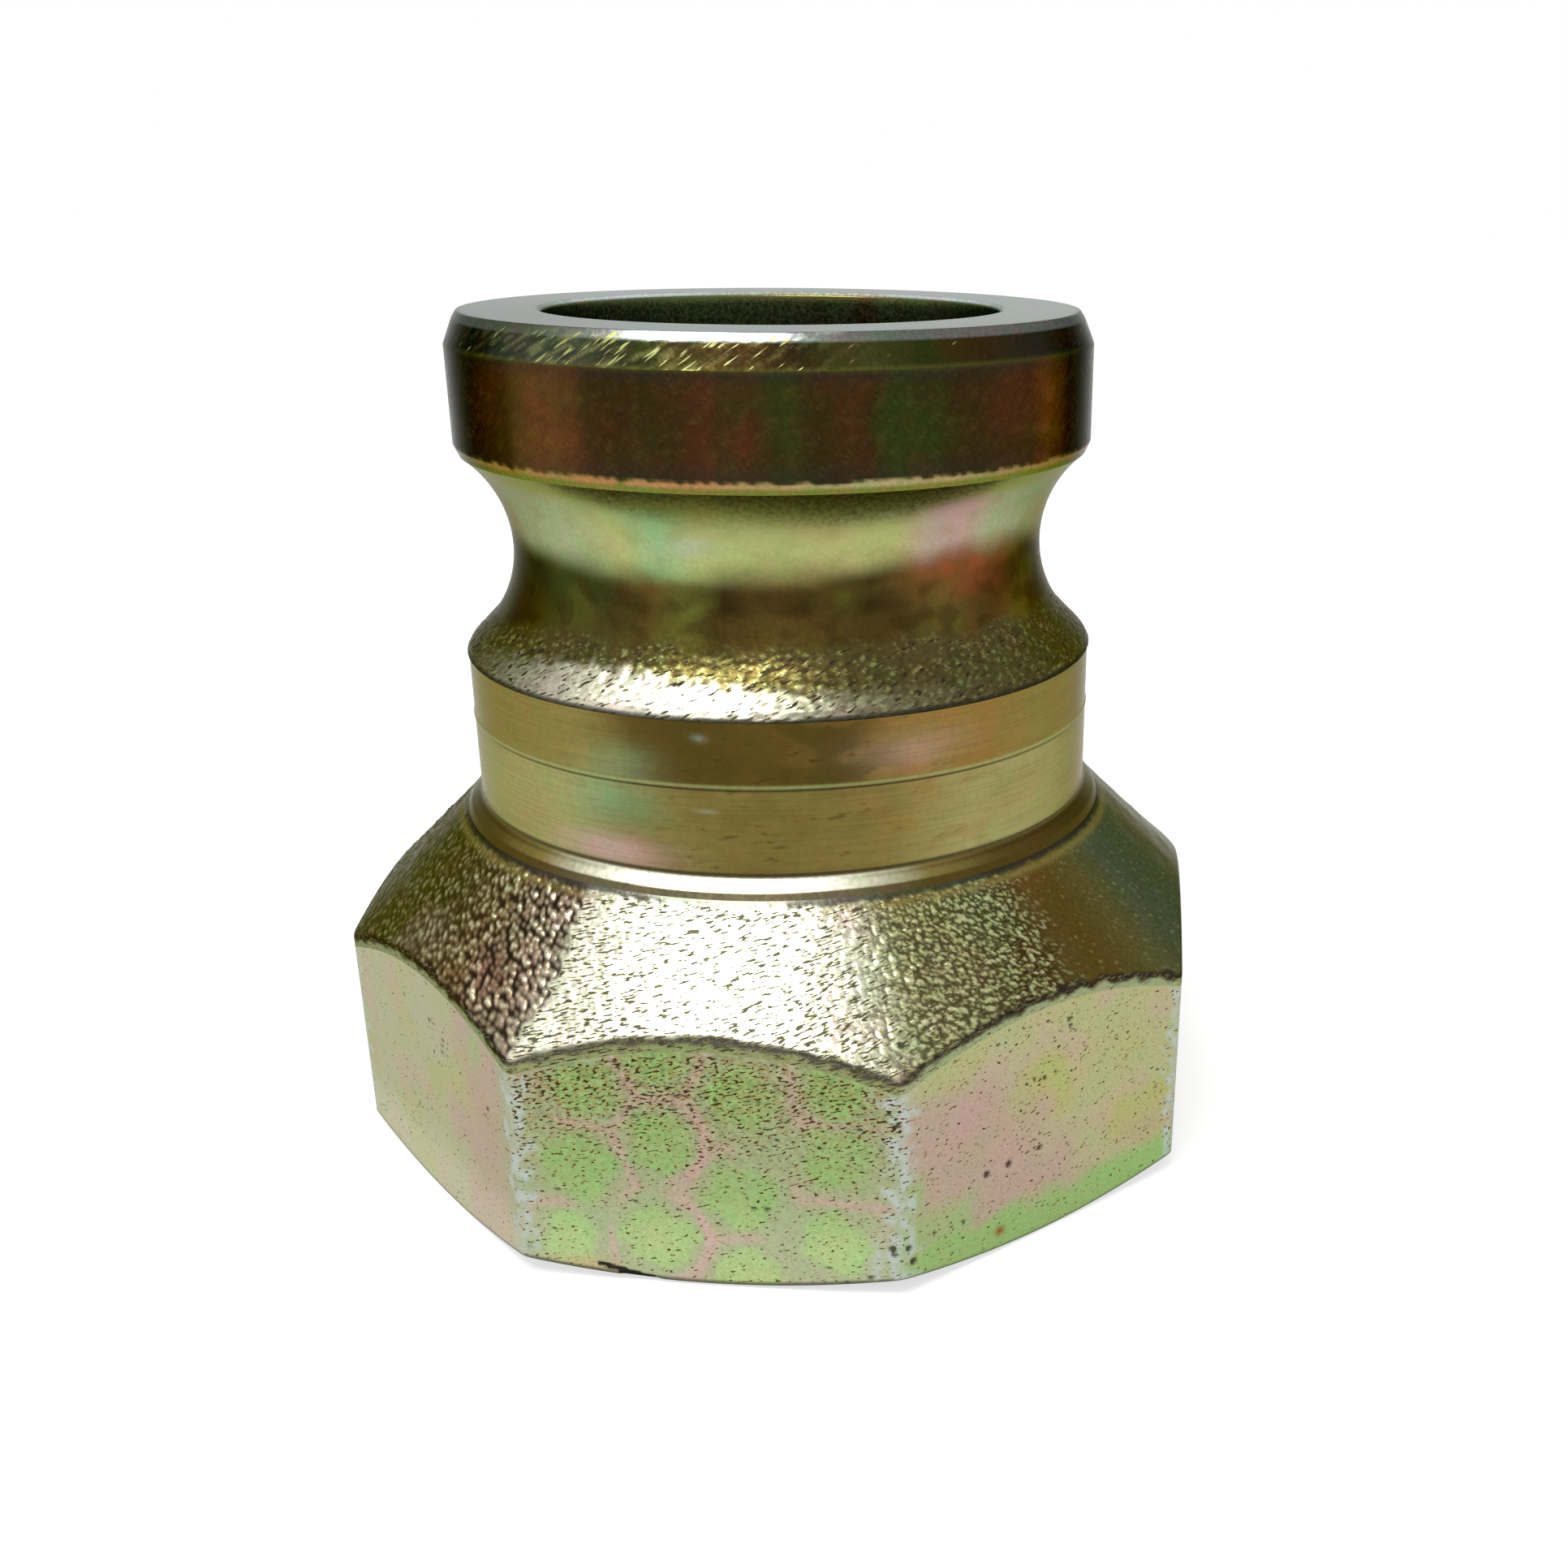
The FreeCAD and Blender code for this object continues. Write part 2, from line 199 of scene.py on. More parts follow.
class StudioSettings(bpy.types.PropertyGroup):
    """The camera, the lamp and the paper under the fitting."""

    lens: FloatProperty(
        name="Lens", description="Focal length on a 36 mm sensor", default=39.386, unit="CAMERA"
    )
    eye: FloatVectorProperty(
        name="Eye", description="Where the camera stands", size=3, subtype="XYZ", unit="LENGTH",
        default=(0.03436, -0.17340, 0.09576), precision=5,
    )
    heading: angle_size("Heading", "Turn of the view from +Y towards -X", 5.203)
    tilt: angle_size("Tilt", "How far the camera looks down", 21.557)
    roll: angle_size("Roll", "Turn of the camera about its view", 0.493)
    shift: FloatVectorProperty(
        name="Shift", description="Sideways and upward shift of the frame, in frame widths", size=2,
        default=(-0.1107, 0.0455),
    )
    lamp_azimuth: angle_size("Lamp azimuth", "From -Y towards +X", -26)
    lamp_elevation: angle_size("Lamp elevation", "Above the floor", 62)
    lamp_distance: length("Lamp distance", "From the middle of the fitting", 850)
    lamp_width: length("Lamp width", "Level side of the soft box", 550)
    lamp_depth: length("Lamp depth", "Other side of the soft box", 340)
    lamp_radiance: FloatProperty(
        name="Lamp brightness", description="Brightness of the soft box's face", default=11
    )
    paper: colour("Paper", "Matt part of the pale floor", "#a0a0a0")
    paper_lift: FloatProperty(
        name="Paper lift", description="Own light of the floor in the picture", default=0.65
    )
    paper_size: length("Paper size", "Side of the floor", 6000)


def form(context):
    """The turned radii and heights in millimetres, worked out from the driving sizes."""
    s = context.scene.reducer_sizes
    lengths = [k for k in s.bl_rna.properties.keys() if k not in ("rna_type", "name", "base_angle")]
    f = SimpleNamespace(**{k: getattr(s, k) / MM for k in lengths})
    f.base_angle = s.base_angle
    f.head = f.head_diameter / 2
    f.face = f.head - f.head_chamfer_width
    f.chamfer_z = f.height - f.head_chamfer_height
    f.land_z = f.chamfer_z - f.head_land
    f.break_z = f.land_z - f.head_break_height
    f.break_r = f.head - f.head_break_width
    f.groove_bottom = f.head - f.groove_depth
    f.groove_centre = f.groove_bottom + f.groove_radius
    f.groove_end = f.groove_bottom + f.groove_run_out
    f.groove_z = f.break_z - math.sqrt(f.groove_radius ** 2 - (f.groove_centre - f.break_r) ** 2)
    f.groove_end_z = f.groove_z - math.sqrt(f.groove_radius ** 2 - (f.groove_centre - f.groove_end) ** 2)
    f.shoulder_lip = f.shoulder_radius - f.shoulder_lip_width
    f.shoulder_z = f.groove_end_z - (f.shoulder_lip - f.groove_end)
    f.collar_top = f.shoulder_z - f.shoulder_lip_height
    f.collar_foot = f.collar_top - f.collar_length
    f.lip_r = f.collar_radius + f.foot_fillet
    f.lip_z = f.collar_foot - f.foot_fillet
    f.dome_r = f.lip_r + f.foot_lip_width
    f.dome_z = f.lip_z - f.foot_lip_height
    f.apothem = f.across_flats / 2
    f.blank = f.apothem / math.cos(math.pi / FLATS) + f.blank_allowance
    f.dome_slope = f.dome_rise / (f.blank - f.dome_r)
    f.base_r = f.apothem - f.base_setback
    f.taper_top = f.stop_height + (f.stop_radius - f.bore_radius)
    return f


def ease(x, low=0.0, high=1.0):
    """A smooth step from 0 below low to 1 above high."""
    t = np.clip((x - low) / (high - low), 0, 1)
    return t * t * (3 - 2 * t)


def bell(away, width):
    """1 at no distance away, falling softly to 0: e to the power of minus the square of away over width."""
    return np.exp(-((away / width) ** 2))


def patch(across, up, centre, size):
    """A soft round mask: a bell of the given half sizes about centre."""
    return bell(across - centre[0], size[0]) * bell(up - centre[1], size[1])


def between(start, end, share):
    """The value that lies at a share of the way from start to end."""
    return start + (end - start) * share


def section(corners):
    """A closed turned section, down the outside and up the inside.

    Each corner is (radius, height, rounding, spacing). A corner with a rounding becomes an arc that is
    tangent to both its runs, and the run after it is cut into equal steps no longer than spacing. Gives
    radii, heights, and the rows that stay crisp, which are unrounded corners where the section turns sharply.
    """
    nearly_straight, arc_step, arc_rows = math.radians(80), math.radians(14), 4
    places = np.array([c[:2] for c in corners], float)
    back = np.roll(places, 1, 0) - places
    ahead = np.roll(places, -1, 0) - places
    back /= np.linalg.norm(back, axis=1)[:, None]
    ahead /= np.linalg.norm(ahead, axis=1)[:, None]
    half = np.arccos(np.clip((back * ahead).sum(1), -1, 1)) / 2
    arcs, crisp = [], []
    for p, a, b, h, (_, _, rounding, _) in zip(places, back, ahead, half, corners):
        if rounding == 0:
            arcs.append(p[None])
            crisp.append([h < nearly_straight])
            continue
        reach = rounding / math.tan(h)
        middle = p + (a + b) / np.linalg.norm(a + b) * rounding / math.sin(h)
        start, end = p + a * reach - middle, p + b * reach - middle
        turn = math.atan2(start[0] * end[1] - start[1] * end[0], start @ end)
        angles = np.linspace(0, turn, max(arc_rows, math.ceil(abs(turn) / arc_step) + 1))
        spun = np.stack([start[0] * np.cos(angles) - start[1] * np.sin(angles),
                         start[0] * np.sin(angles) + start[1] * np.cos(angles)], 1)
        arcs.append(middle + spun)
        crisp.append([False] * len(angles))
    rows, sharp = [], []
    for k, corner in enumerate(corners):
        rows.append(arcs[k])
        sharp += crisp[k]
        leave, reach = arcs[k][-1], arcs[(k + 1) % len(corners)][0]
        steps = math.ceil(np.linalg.norm(reach - leave) / corner[3])
        run = between(leave, reach, np.linspace(0, 1, steps + 1)[1:-1, None])
        rows.append(run)
        sharp += [False] * len(run)
    rows = np.concatenate(rows)
    return rows[:, :1], rows[:, 1:], np.array(sharp)


def columns(count, crowd=0.0):
    """Azimuths of count columns, the first at the back, so that the seam lies away from the front.

    The even spacing is multiplied by 1 - crowd times the azimuth's cosine, so it is closest at the front.
    """
    even = np.arange(count)[None, :] * (2 * math.pi / count) - math.pi
    return np.degrees(even - crowd * np.sin(even))


class Ring:
    """A closed ring of metal: rows run down its section's outside and up the inside, columns run round it.

    A point lies at radius r and height z, angle degrees from -Y towards +X. Rows where crisp is true are
    sharp edges. Patterns keep their size in millimetres at the radius girth.
    """

    def __init__(self, r, z, crisp, angle, girth):
        self.r, self.z, self.crisp, self.angle, self.girth = r, z, crisp, angle, girth
        r, z, turn = np.broadcast_arrays(r, z, np.radians(angle))
        self.points = np.stack([r * np.sin(turn), -r * np.cos(turn), z], -1)
        self.shape = r.shape

    def near(self, centre, width):
        """A soft mask round one azimuth: a bell whose half width is width, in degrees."""
        return bell((self.angle - centre + FULL_TURN / 2) % FULL_TURN - FULL_TURN / 2, width)

    def patch(self, centre, size):
        """A soft round mask about an azimuth and a height, size degrees wide and millimetres high."""
        return patch(self.angle, self.z, centre, size)

    def around(self, stops):
        """A colour for each azimuth, blended between given stops, from degrees to colour."""
        channels = [np.interp(self.angle, list(stops), [tint[k] for tint in stops.values()], period=FULL_TURN)
                    for k in range(3)]
        return np.stack(channels, -1)

    def lattice(self, cell, lean, up, girth):
        """Places on a lattice of cells that closes after one turn, and climbs by lean for each 1 along."""
        girth = 2 * math.pi * (self.girth if girth is None else girth)
        count = round(girth / cell[0])
        turns = self.angle / FULL_TURN
        climb = round(lean * girth / (cell[1] * NOISE_ROWS)) * NOISE_ROWS
        up = self.z if up is None else up
        x, y = np.broadcast_arrays(turns * count, up / cell[1] - turns * climb)
        return x, y, count

    def noise(self, cell, seed, lean=0.0, up=None, girth=None):
        """Soft hills from 0 to 1: random slopes at the lattice's corners, blended by smooth steps."""
        contrast = 0.8
        x, y, count = self.lattice(cell, lean, up, girth)
        bearing = np.random.default_rng(seed).random((NOISE_ROWS, count)) * 2 * math.pi
        i, j = np.floor(x).astype(int), np.floor(y).astype(int)
        total = 0
        for di in (0, 1):
            for dj in (0, 1):
                s, t = x - i - di, y - j - dj
                slope = bearing[(j + dj) % NOISE_ROWS, (i + di) % count]
                hill = np.cos(slope) * s + np.sin(slope) * t
                total = total + (1 - ease(np.abs(s))) * (1 - ease(np.abs(t))) * hill
        return np.clip(0.5 + contrast * total, 0, 1)

    def beads(self, cell, seed, lean=0.0, up=None, girth=None):
        """One seed point in each cell: the sum of round bells on the seeds, the distance in cells to the
        nearest seed, and that seed's own number.
        """
        edge, bead_radius, farthest = 0.12, 0.42, 9.0
        x, y, count = self.lattice(cell, lean, up, girth)
        rng = np.random.default_rng(seed)
        jitter = edge + (1 - 2 * edge) * rng.random((NOISE_ROWS, count, 2))
        number = rng.random((NOISE_ROWS, count))
        i, j = np.floor(x).astype(int), np.floor(y).astype(int)
        bells, nearest, mark = 0, np.full(x.shape, farthest), np.zeros(x.shape)
        for di in (-1, 0, 1):
            for dj in (-1, 0, 1):
                a, b = (i + di) % count, (j + dj) % NOISE_ROWS
                away = np.hypot(x - i - di - jitter[b, a, 0], y - j - dj - jitter[b, a, 1])
                bells = bells + (0.6 + 0.8 * number[b, a]) * bell(away, bead_radius)
                mark = np.where(away < nearest, number[b, a], mark)
                nearest = np.minimum(nearest, away)
        return bells, nearest, mark

    def emboss(self, lift):
        """Moves each point lift millimetres away from the metal, square to its neighbours."""
        along = np.roll(self.points, -1, 1) - np.roll(self.points, 1, 1)
        down = np.roll(self.points, -1, 0) - np.roll(self.points, 1, 0)
        out = np.cross(down, along)
        out /= np.maximum(np.linalg.norm(out, axis=2), 1e-9)[..., None]
        self.points = self.points + out * lift[..., None]


class Film:
    """The chromate film's colour at each point of a ring, laid in washes."""

    def __init__(self, shape, tint):
        self.colour = np.broadcast_to(np.array(tint), (*shape, 3)).copy()

    def wash(self, tint, mask):
        """Lays a colour, or one for each point, over the film where mask is 1, softly where it falls to 0."""
        mask = np.broadcast_to(mask, self.colour.shape[:2])[..., None]
        self.colour += (np.array(tint) - self.colour) * np.clip(mask, 0, 1)


def add_ring(name, ring, finish, film, worn=0.0, pit=0.0, stipple=0.0):
    """Makes a ring's mesh, which closes along its rows and its columns, and hands it to the frame."""
    rows, count = ring.shape
    mesh = bpy.data.meshes.new(name)
    mesh.vertices.add(rows * count)
    mesh.vertices.foreach_set("co", (ring.points * MM).astype(np.float32).ravel())
    row = np.arange(rows)[:, None] * count
    below = np.roll(row, -1)
    here = np.arange(count)[None, :]
    beside = (here + 1) % count
    quads = np.stack([row + here, below + here, below + beside, row + beside], -1)
    mesh.loops.add(quads.size)
    mesh.loops.foreach_set("vertex_index", quads.astype(np.int32).ravel())
    mesh.polygons.add(rows * count)
    mesh.polygons.foreach_set("loop_start", np.arange(rows * count, dtype=np.int32) * 4)
    mesh.update(calc_edges=True)
    mesh.shade_smooth()
    ends = np.empty(len(mesh.edges) * 2, np.int32)
    mesh.edges.foreach_get("vertices", ends)
    lines = ends.reshape(-1, 2) // count
    sharp = (lines[:, 0] == lines[:, 1]) & ring.crisp[lines[:, 0]]
    mesh.attributes.new("sharp_edge", "BOOLEAN", "EDGE").data.foreach_set("value", sharp)
    shades = np.concatenate([film.colour, np.ones((rows, count, 1))], -1).astype(np.float32)
    mesh.attributes.new("film", "FLOAT_COLOR", "POINT").data.foreach_set("color", shades.ravel())
    for label, mask in (("worn", worn), ("pit", pit), ("stipple", stipple)):
        values = np.broadcast_to(mask, ring.shape).astype(np.float32)
        mesh.attributes.new(label, "FLOAT", "POINT").data.foreach_set("value", values.ravel())
    mesh.validate()
    mesh.materials.append(finish)
    piece = bpy.data.objects.new(name, mesh)
    bpy.context.scene.collection.objects.link(piece)
    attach(piece, BODY)
    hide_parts(NODE)


def add_node(tree, kind, inputs=None, **settings):
    """Adds one node with its own settings. Inputs are values, or links where they are sockets."""
    node = tree.nodes.new(kind)
    for key, value in settings.items():
        setattr(node, key, value)
    for socket, value in (inputs or {}).items():
        if isinstance(value, bpy.types.NodeSocket):
            tree.links.new(value, node.inputs[socket])
        else:
            node.inputs[socket].default_value = value
    return node


def chromated_steel(name, colours, roughness, edge, mottle, speck, grain, grain_depth,
                    stroke=(0.6, 0.6, 0.3), slant=14, flaw=None, lip=None):
    """Zinc-plated steel under a yellow chromate conversion film, dipped after it was turned or forged.

    The film is a metal-bright interference coat, so the shader is a plain metal whose colour is the painted
    film and whose glancing colour is edge. Cloudy thickness changes a few millimetres wide tint it, and fine
    grain breaks up its gloss. Small flaws, stroke millimetres in size, rise by slant degrees and lie as
    densely as the stipple mask asks. They show dark steel with a painted highlight on their lips, or painted
    glints of scratches where both colours are bright, in the flaw and lip colours.
    """
    cloud_size, stipple_share = 3.2, 0.32
    thin_film, thick_film = (0.36, (0.84, 1.05, 0.86, 1)), (0.64, (1.14, 0.92, 0.95, 1))
    usual = {"From Min": 0.3, "From Max": 0.7}
    flaw_level, lip_level = (0.905, 0.935), (0.85, 0.91)
    flaw_cover, flaw_depth, flaw_dullness = 0.85, 1.2, 0.3
    smoother, rougher = 0.05, 0.06
    material = bpy.data.materials.new(name)
    material.use_nodes = True
    tree = material.node_tree
    tree.nodes.clear()
    place = add_node(tree, "ShaderNodeTexCoord").outputs["Object"]
    film = add_node(tree, "ShaderNodeAttribute", attribute_name="film").outputs["Color"]
    worn, pit, dense = [add_node(tree, "ShaderNodeAttribute", attribute_name=label).outputs["Fac"]
                        for label in ("worn", "pit", "stipple")]

    # Colour of the film, with its clouds and its grain, and bare zinc where it is worn.
    clouds = add_node(tree, "ShaderNodeTexNoise",
                      {"Vector": place, "Scale": 1 / (cloud_size * MM), "Detail": 4.0})
    fine = add_node(tree, "ShaderNodeTexNoise",
                    {"Vector": place, "Scale": 1 / (grain * MM), "Detail": 2.0}).outputs["Fac"]
    tint = add_node(tree, "ShaderNodeValToRGB", {"Fac": clouds.outputs["Fac"]})
    for stop, (position, shade) in zip(tint.color_ramp.elements, (thin_film, thick_film)):
        stop.position, stop.color = position, shade
    tinted = add_node(tree, "ShaderNodeMix", {0: mottle, 6: film, 7: tint.outputs["Color"]},
                      data_type="RGBA", blend_type="MULTIPLY")
    shade = add_node(tree, "ShaderNodeMapRange",
                     {"Value": fine, **usual, "To Min": 1 - speck, "To Max": 1 + speck})
    grained = add_node(tree, "ShaderNodeMix", {0: 1.0, 6: tinted.outputs[2], 7: shade.outputs["Result"]},
                       data_type="RGBA", blend_type="MULTIPLY")
    bared = add_node(tree, "ShaderNodeMix", {0: worn, 6: grained.outputs[2], 7: (*colours.zinc, 1)},
                     data_type="RGBA")

    # Small slanted flaws with a painted highlight on the lips round them, and the pits that the mesh itself
    # has.
    laid = add_node(tree, "ShaderNodeMapping", {"Vector": place, "Rotation": (0, math.radians(-slant), 0),
                                                "Scale": stroke}, vector_type="TEXTURE")
    flaws = add_node(tree, "ShaderNodeTexNoise", {"Vector": laid.outputs[0], "Scale": 1 / MM, "Detail": 1.0})
    level = add_node(tree, "ShaderNodeMath", {0: dense, 1: stipple_share, 2: flaws.outputs["Fac"]},
                     operation="MULTIPLY_ADD").outputs[0]
    small, lips = [
        add_node(tree, "ShaderNodeMapRange", {"Value": level, "From Min": low, "From Max": high,
                                              "To Min": 0.0, "To Max": flaw_cover}).outputs["Result"]
        for low, high in (flaw_level, lip_level)
    ]
    holes = add_node(tree, "ShaderNodeMath", {0: pit, 1: small}, operation="MAXIMUM").outputs[0]
    lit_lipped = add_node(tree, "ShaderNodeMix", {0: lips, 6: bared.outputs[2], 7: (*(lip or colours.ochre), 1)},
                     data_type="RGBA")
    pitted = add_node(tree, "ShaderNodeMix", {0: holes, 6: lit_lipped.outputs[2], 7: (*(flaw or colours.pit), 1)},
                      data_type="RGBA")

    # Gloss, duller in the grain and the flaws, and the relief of both.
    gloss = add_node(tree, "ShaderNodeMapRange",
                     {"Value": fine, **usual, "To Min": roughness - smoother, "To Max": roughness + rougher})
    dull = add_node(tree, "ShaderNodeMath", {0: holes, 1: flaw_dullness, 2: gloss.outputs["Result"]},
                    operation="MULTIPLY_ADD")
    sunk = add_node(tree, "ShaderNodeMath", {0: small, 1: -flaw_depth, 2: fine}, operation="MULTIPLY_ADD")
    bump = add_node(tree, "ShaderNodeBump", {"Height": sunk.outputs[0], "Distance": grain_depth * MM})
    metal = add_node(tree, "ShaderNodeBsdfPrincipled", {
        "Base Color": pitted.outputs[2], "Metallic": 1.0, "Roughness": dull.outputs["Value"],
        "Specular Tint": (*linear(edge), 1), "Normal": bump.outputs["Normal"]})
    add_node(tree, "ShaderNodeOutputMaterial", {"Surface": metal.outputs["BSDF"]})
    return material


class REDUCER_OT_spigot_head(bpy.types.Operator):
    """Turns the head that enters the coupler, with its lead-in, coupling face and the top of the bore."""

    bl_idname = "reducer.spigot_head"
    bl_label = "Spigot head"

    def execute(self, context):
        f = form(context)
        c = context.scene.reducer_film
        mouth = f.bore_radius + f.bore_break
        ring = Ring(*section([
            (mouth, f.height, 0.15, 0.5), (f.face - f.face_facet * 0.28, f.height, 0.25, 0.12),
            (f.face + f.face_facet * 0.42, f.height - f.face_facet, f.edge_round, 0.2),
            (f.head, f.chamfer_z, f.edge_round, 0.3), (f.head, f.land_z, 0.12, 0.2),
            (f.break_r, f.break_z, 0, 4.0), (f.bore_radius, f.break_z, 0, 0.8),
            (f.bore_radius, f.height - f.bore_break, 0.15, 0.2),
        ]), columns(640), f.head)
        outer = ease(ring.r, f.face - 0.3, f.face + 0.2)
        cone = outer * ease(ring.z, f.chamfer_z - 0.05, f.chamfer_z + 0.15)
        scratch = ring.noise((1.9, 0.46), 11, lean=0.42)
        cloud = ring.noise((4.2, 3.0), 12, lean=0.35)
        drift = ring.noise((3.4, 4.5), 16, lean=0.35)
        grit = ring.noise((1.3, 0.34), 13, lean=0.5)
        # Where the lead-in's scratches are cut deeper and get painted glints and painted shade: the front,
        # where the light falls.
        grazed_and_glinting = ring.near(-22, 20) + 0.6 * ring.near(4, 16)
        lift = -0.012 * grit * outer - 0.03 * cone * ease(scratch, 0.5, 0.8) * (0.3 + grazed_and_glinting)
        ring.emboss(lift * ease(f.height - ring.z, 0.0, 0.3))
        ring.points[..., 2] = np.minimum(ring.points[..., 2], f.height)
        film = self.land(f, c, ring, cloud, drift, grit)
        self.lead_in(c, ring, film, cone, cloud, scratch, grazed_and_glinting)
        # A painted highlight: a paler olive line along the edge between the lead-in and the land, at the
        # front.
        film.wash(c.olive, 0.35 * outer * bell(ring.z - f.chamfer_z - 0.1, 0.16) * ring.near(5, 70))
        self.lower_edge(f, c, ring, film, outer)
        self.face_and_bore(f, c, ring, film, cloud, mouth)
        turned = chromated_steel(
            "turned_chromated_steel", c, roughness=0.22, edge="#a8aaa6", mottle=0.7, speck=0.16, grain=0.35,
            grain_depth=0.006, stroke=(2.2, 2.2, 0.24), slant=36, flaw=c.lime, lip=c.straw,
        )
        # The lead-in's nicks are painted bright lime and straw as glints, densest at the front where the
        # light falls.
        nicked = cone * (0.4 + 0.44 * np.clip(grazed_and_glinting, 0, 1)) * ease(drift, 0.25, 0.5)
        add_ring("spigot_head", ring, turned, film, stipple=nicked)
        return {"FINISHED"}

    def land(self, f, c, ring, cloud, drift, grit):
        """Brown film on the straight part, painted dark as a dark reflection and blue-black at the sides,
        with upright and leaning stripes of brick and moss.
        """
        z = ring.z
        film = Film(ring.shape, ring.around({
            -170: c.brown, -140: c.moss, -115: c.brown, -95: c.umber, -72: c.blue_black_and_shade, -58: c.blue_black_and_shade, -46: c.umber,
            -37: c.umber, -32: c.brown, -24: c.brown, -19: c.umber, -5: c.umber, 0: c.brick, 7: c.brick,
            11: c.moss, 14: c.moss, 17: c.umber, 25: c.umber, 29: c.moss, 36: c.moss, 40: c.umber,
            45: c.umber, 50: c.brick, 57: c.brick, 62: c.brown, 69: c.umber, 76: c.blue_black_and_shade, 95: c.umber,
            120: c.brick, 150: c.umber,
        }))
        upright = ring.noise((1.6, 30.0), 15)
        film.wash(c.umber, 0.3 * ease(upright, 0.5, 0.85))
        film.wash(c.brick, 0.45 * ease(cloud, 0.5, 0.8) * (1 - ring.near(11, 5)))
        film.wash(c.brick, 0.5 * ease(drift, 0.5, 0.62) * ring.near(21, 7))
        film.wash(c.moss, 0.55 * ease(0.5 - drift, 0.0, 0.25) * (0.25 + 0.75 * ring.near(20, 22)))
        film.wash(c.umber, 0.5 * ease(0.48 - cloud, 0.0, 0.3))
        film.wash(c.brown, 0.5 * ring.near(-28, 6))
        film.wash(c.gold, 0.07 * ease(grit, 0.5, 0.85))
        film.wash(c.blue_black_and_shade, 0.2 * ease(0.55 - grit, 0.0, 0.4))
        # Darker just below the lead-in, and at the front towards the bottom.
        film.wash(c.blue_black_and_shade, 0.4 * ease(z, f.chamfer_z - 1.6, f.chamfer_z - 0.2))
        film.wash(c.blue_black_and_shade, 0.45 * ring.near(15, 60) * ease(f.land_z + 2.4 - z, 0, 2.4))
        return film

    def lead_in(self, c, ring, film, cone, cloud, scratch, grazed_and_glinting):
        """Blue-black to green film on the lead-in, painted dark as a dark reflection, with painted glints and
        painted shade on the scratches at the front, where the light falls.
        """
        film.wash(ring.around({
            -120: c.umber, -66: c.blue_black_and_shade, -42: c.blue_black_and_shade, -26: c.teal, -10: c.forest, 2: c.bronze, 14: c.umber,
            24: c.forest, 34: c.moss, 46: c.umber, 60: c.blue_black_and_shade, 75: c.blue_black_and_shade, 100: c.umber,
        }), cone * (0.75 + 0.25 * cloud))
        film.wash(c.brick, 0.2 * cone * ease(cloud, 0.5, 0.8))
        film.wash(c.blue_black_and_shade, 0.5 * cone * ease(0.5 - scratch, 0.0, 0.2) * grazed_and_glinting)
        film.wash(c.straw, 0.4 * cone * ease(scratch, 0.58, 0.74) * grazed_and_glinting)

    def lower_edge(self, f, c, ring, film, outer):
        """A torn line where the brown film ends, with a painted highlight below it, peach on the edge and
        sage to the right.
        """
        torn = ring.noise((0.9, 1.2), 14, lean=0.6) + ring.noise((3.6, 1.4), 17)
        below = f.land_z + 0.02 + 0.32 * (torn - 1.0) - ring.z
        film.wash(c.olive, outer * ease(below, -0.12, 0.2))
        glint = outer * ease(below, -0.05, 0.2) * ease(ring.z - f.land_z + 0.6, 0, 0.25)
        film.wash(c.peach, glint * ease(torn, 0.5, 0.9) * (0.65 + 0.35 * ring.near(-2, 22)))
        film.wash(c.sage, 0.55 * glint * ring.near(27, 20))

    def face_and_bore(self, f, c, ring, film, cloud, mouth):
        """Thin film on the coupling face with a painted highlight on its worn corner, and olive film in the
        bore with a painted reflection and a painted highlight on its back rim.
        """
        r, z = ring.r, ring.z
        flat_face = ease(z, f.height - 0.35, f.height - 0.2) * (1 - ease(r, f.face - 0.4, f.face - 0.2))
        film.wash(c.steel, flat_face * (1 - 0.3 * ring.near(-60, 50)))
        # A painted highlight of pale steel on the corner facet, strongest at the front, and painted shade of
        # forest green where it ends on the left.
        corner = ease(r, f.face - 0.4, f.face - 0.2) * ease(z, f.height - 0.85, f.height - 0.65)
        sheen = 0.15 + 0.85 * ring.near(-2, 14) + 0.5 * ring.near(18, 9) * ease(cloud, 0.45, 0.6)
        film.wash(c.steel, corner * sheen)
        film.wash(c.forest, 0.5 * corner * ring.near(-34, 16))
        rim = ease(z, f.height - 0.42, f.height - 0.3) * (1 - ease(r, mouth - 0.05, mouth + 0.1))
        inside = (1 - ease(r, f.bore_radius + 0.05, f.bore_radius + 0.25)) * (1 - rim)
        film.wash(c.bore, inside)
        # A painted reflection of brick red in the bore at the back, and a painted highlight of gold on the
        # back of its rim.
        film.wash(c.brick, 0.6 * inside * ring.near(168, 16) * ease(cloud, 0.3, 0.6))
        film.wash(c.gold, 0.6 * ring.near(180, 30) * ease(z, f.height - 0.7, f.height - 0.4) * (r < mouth))


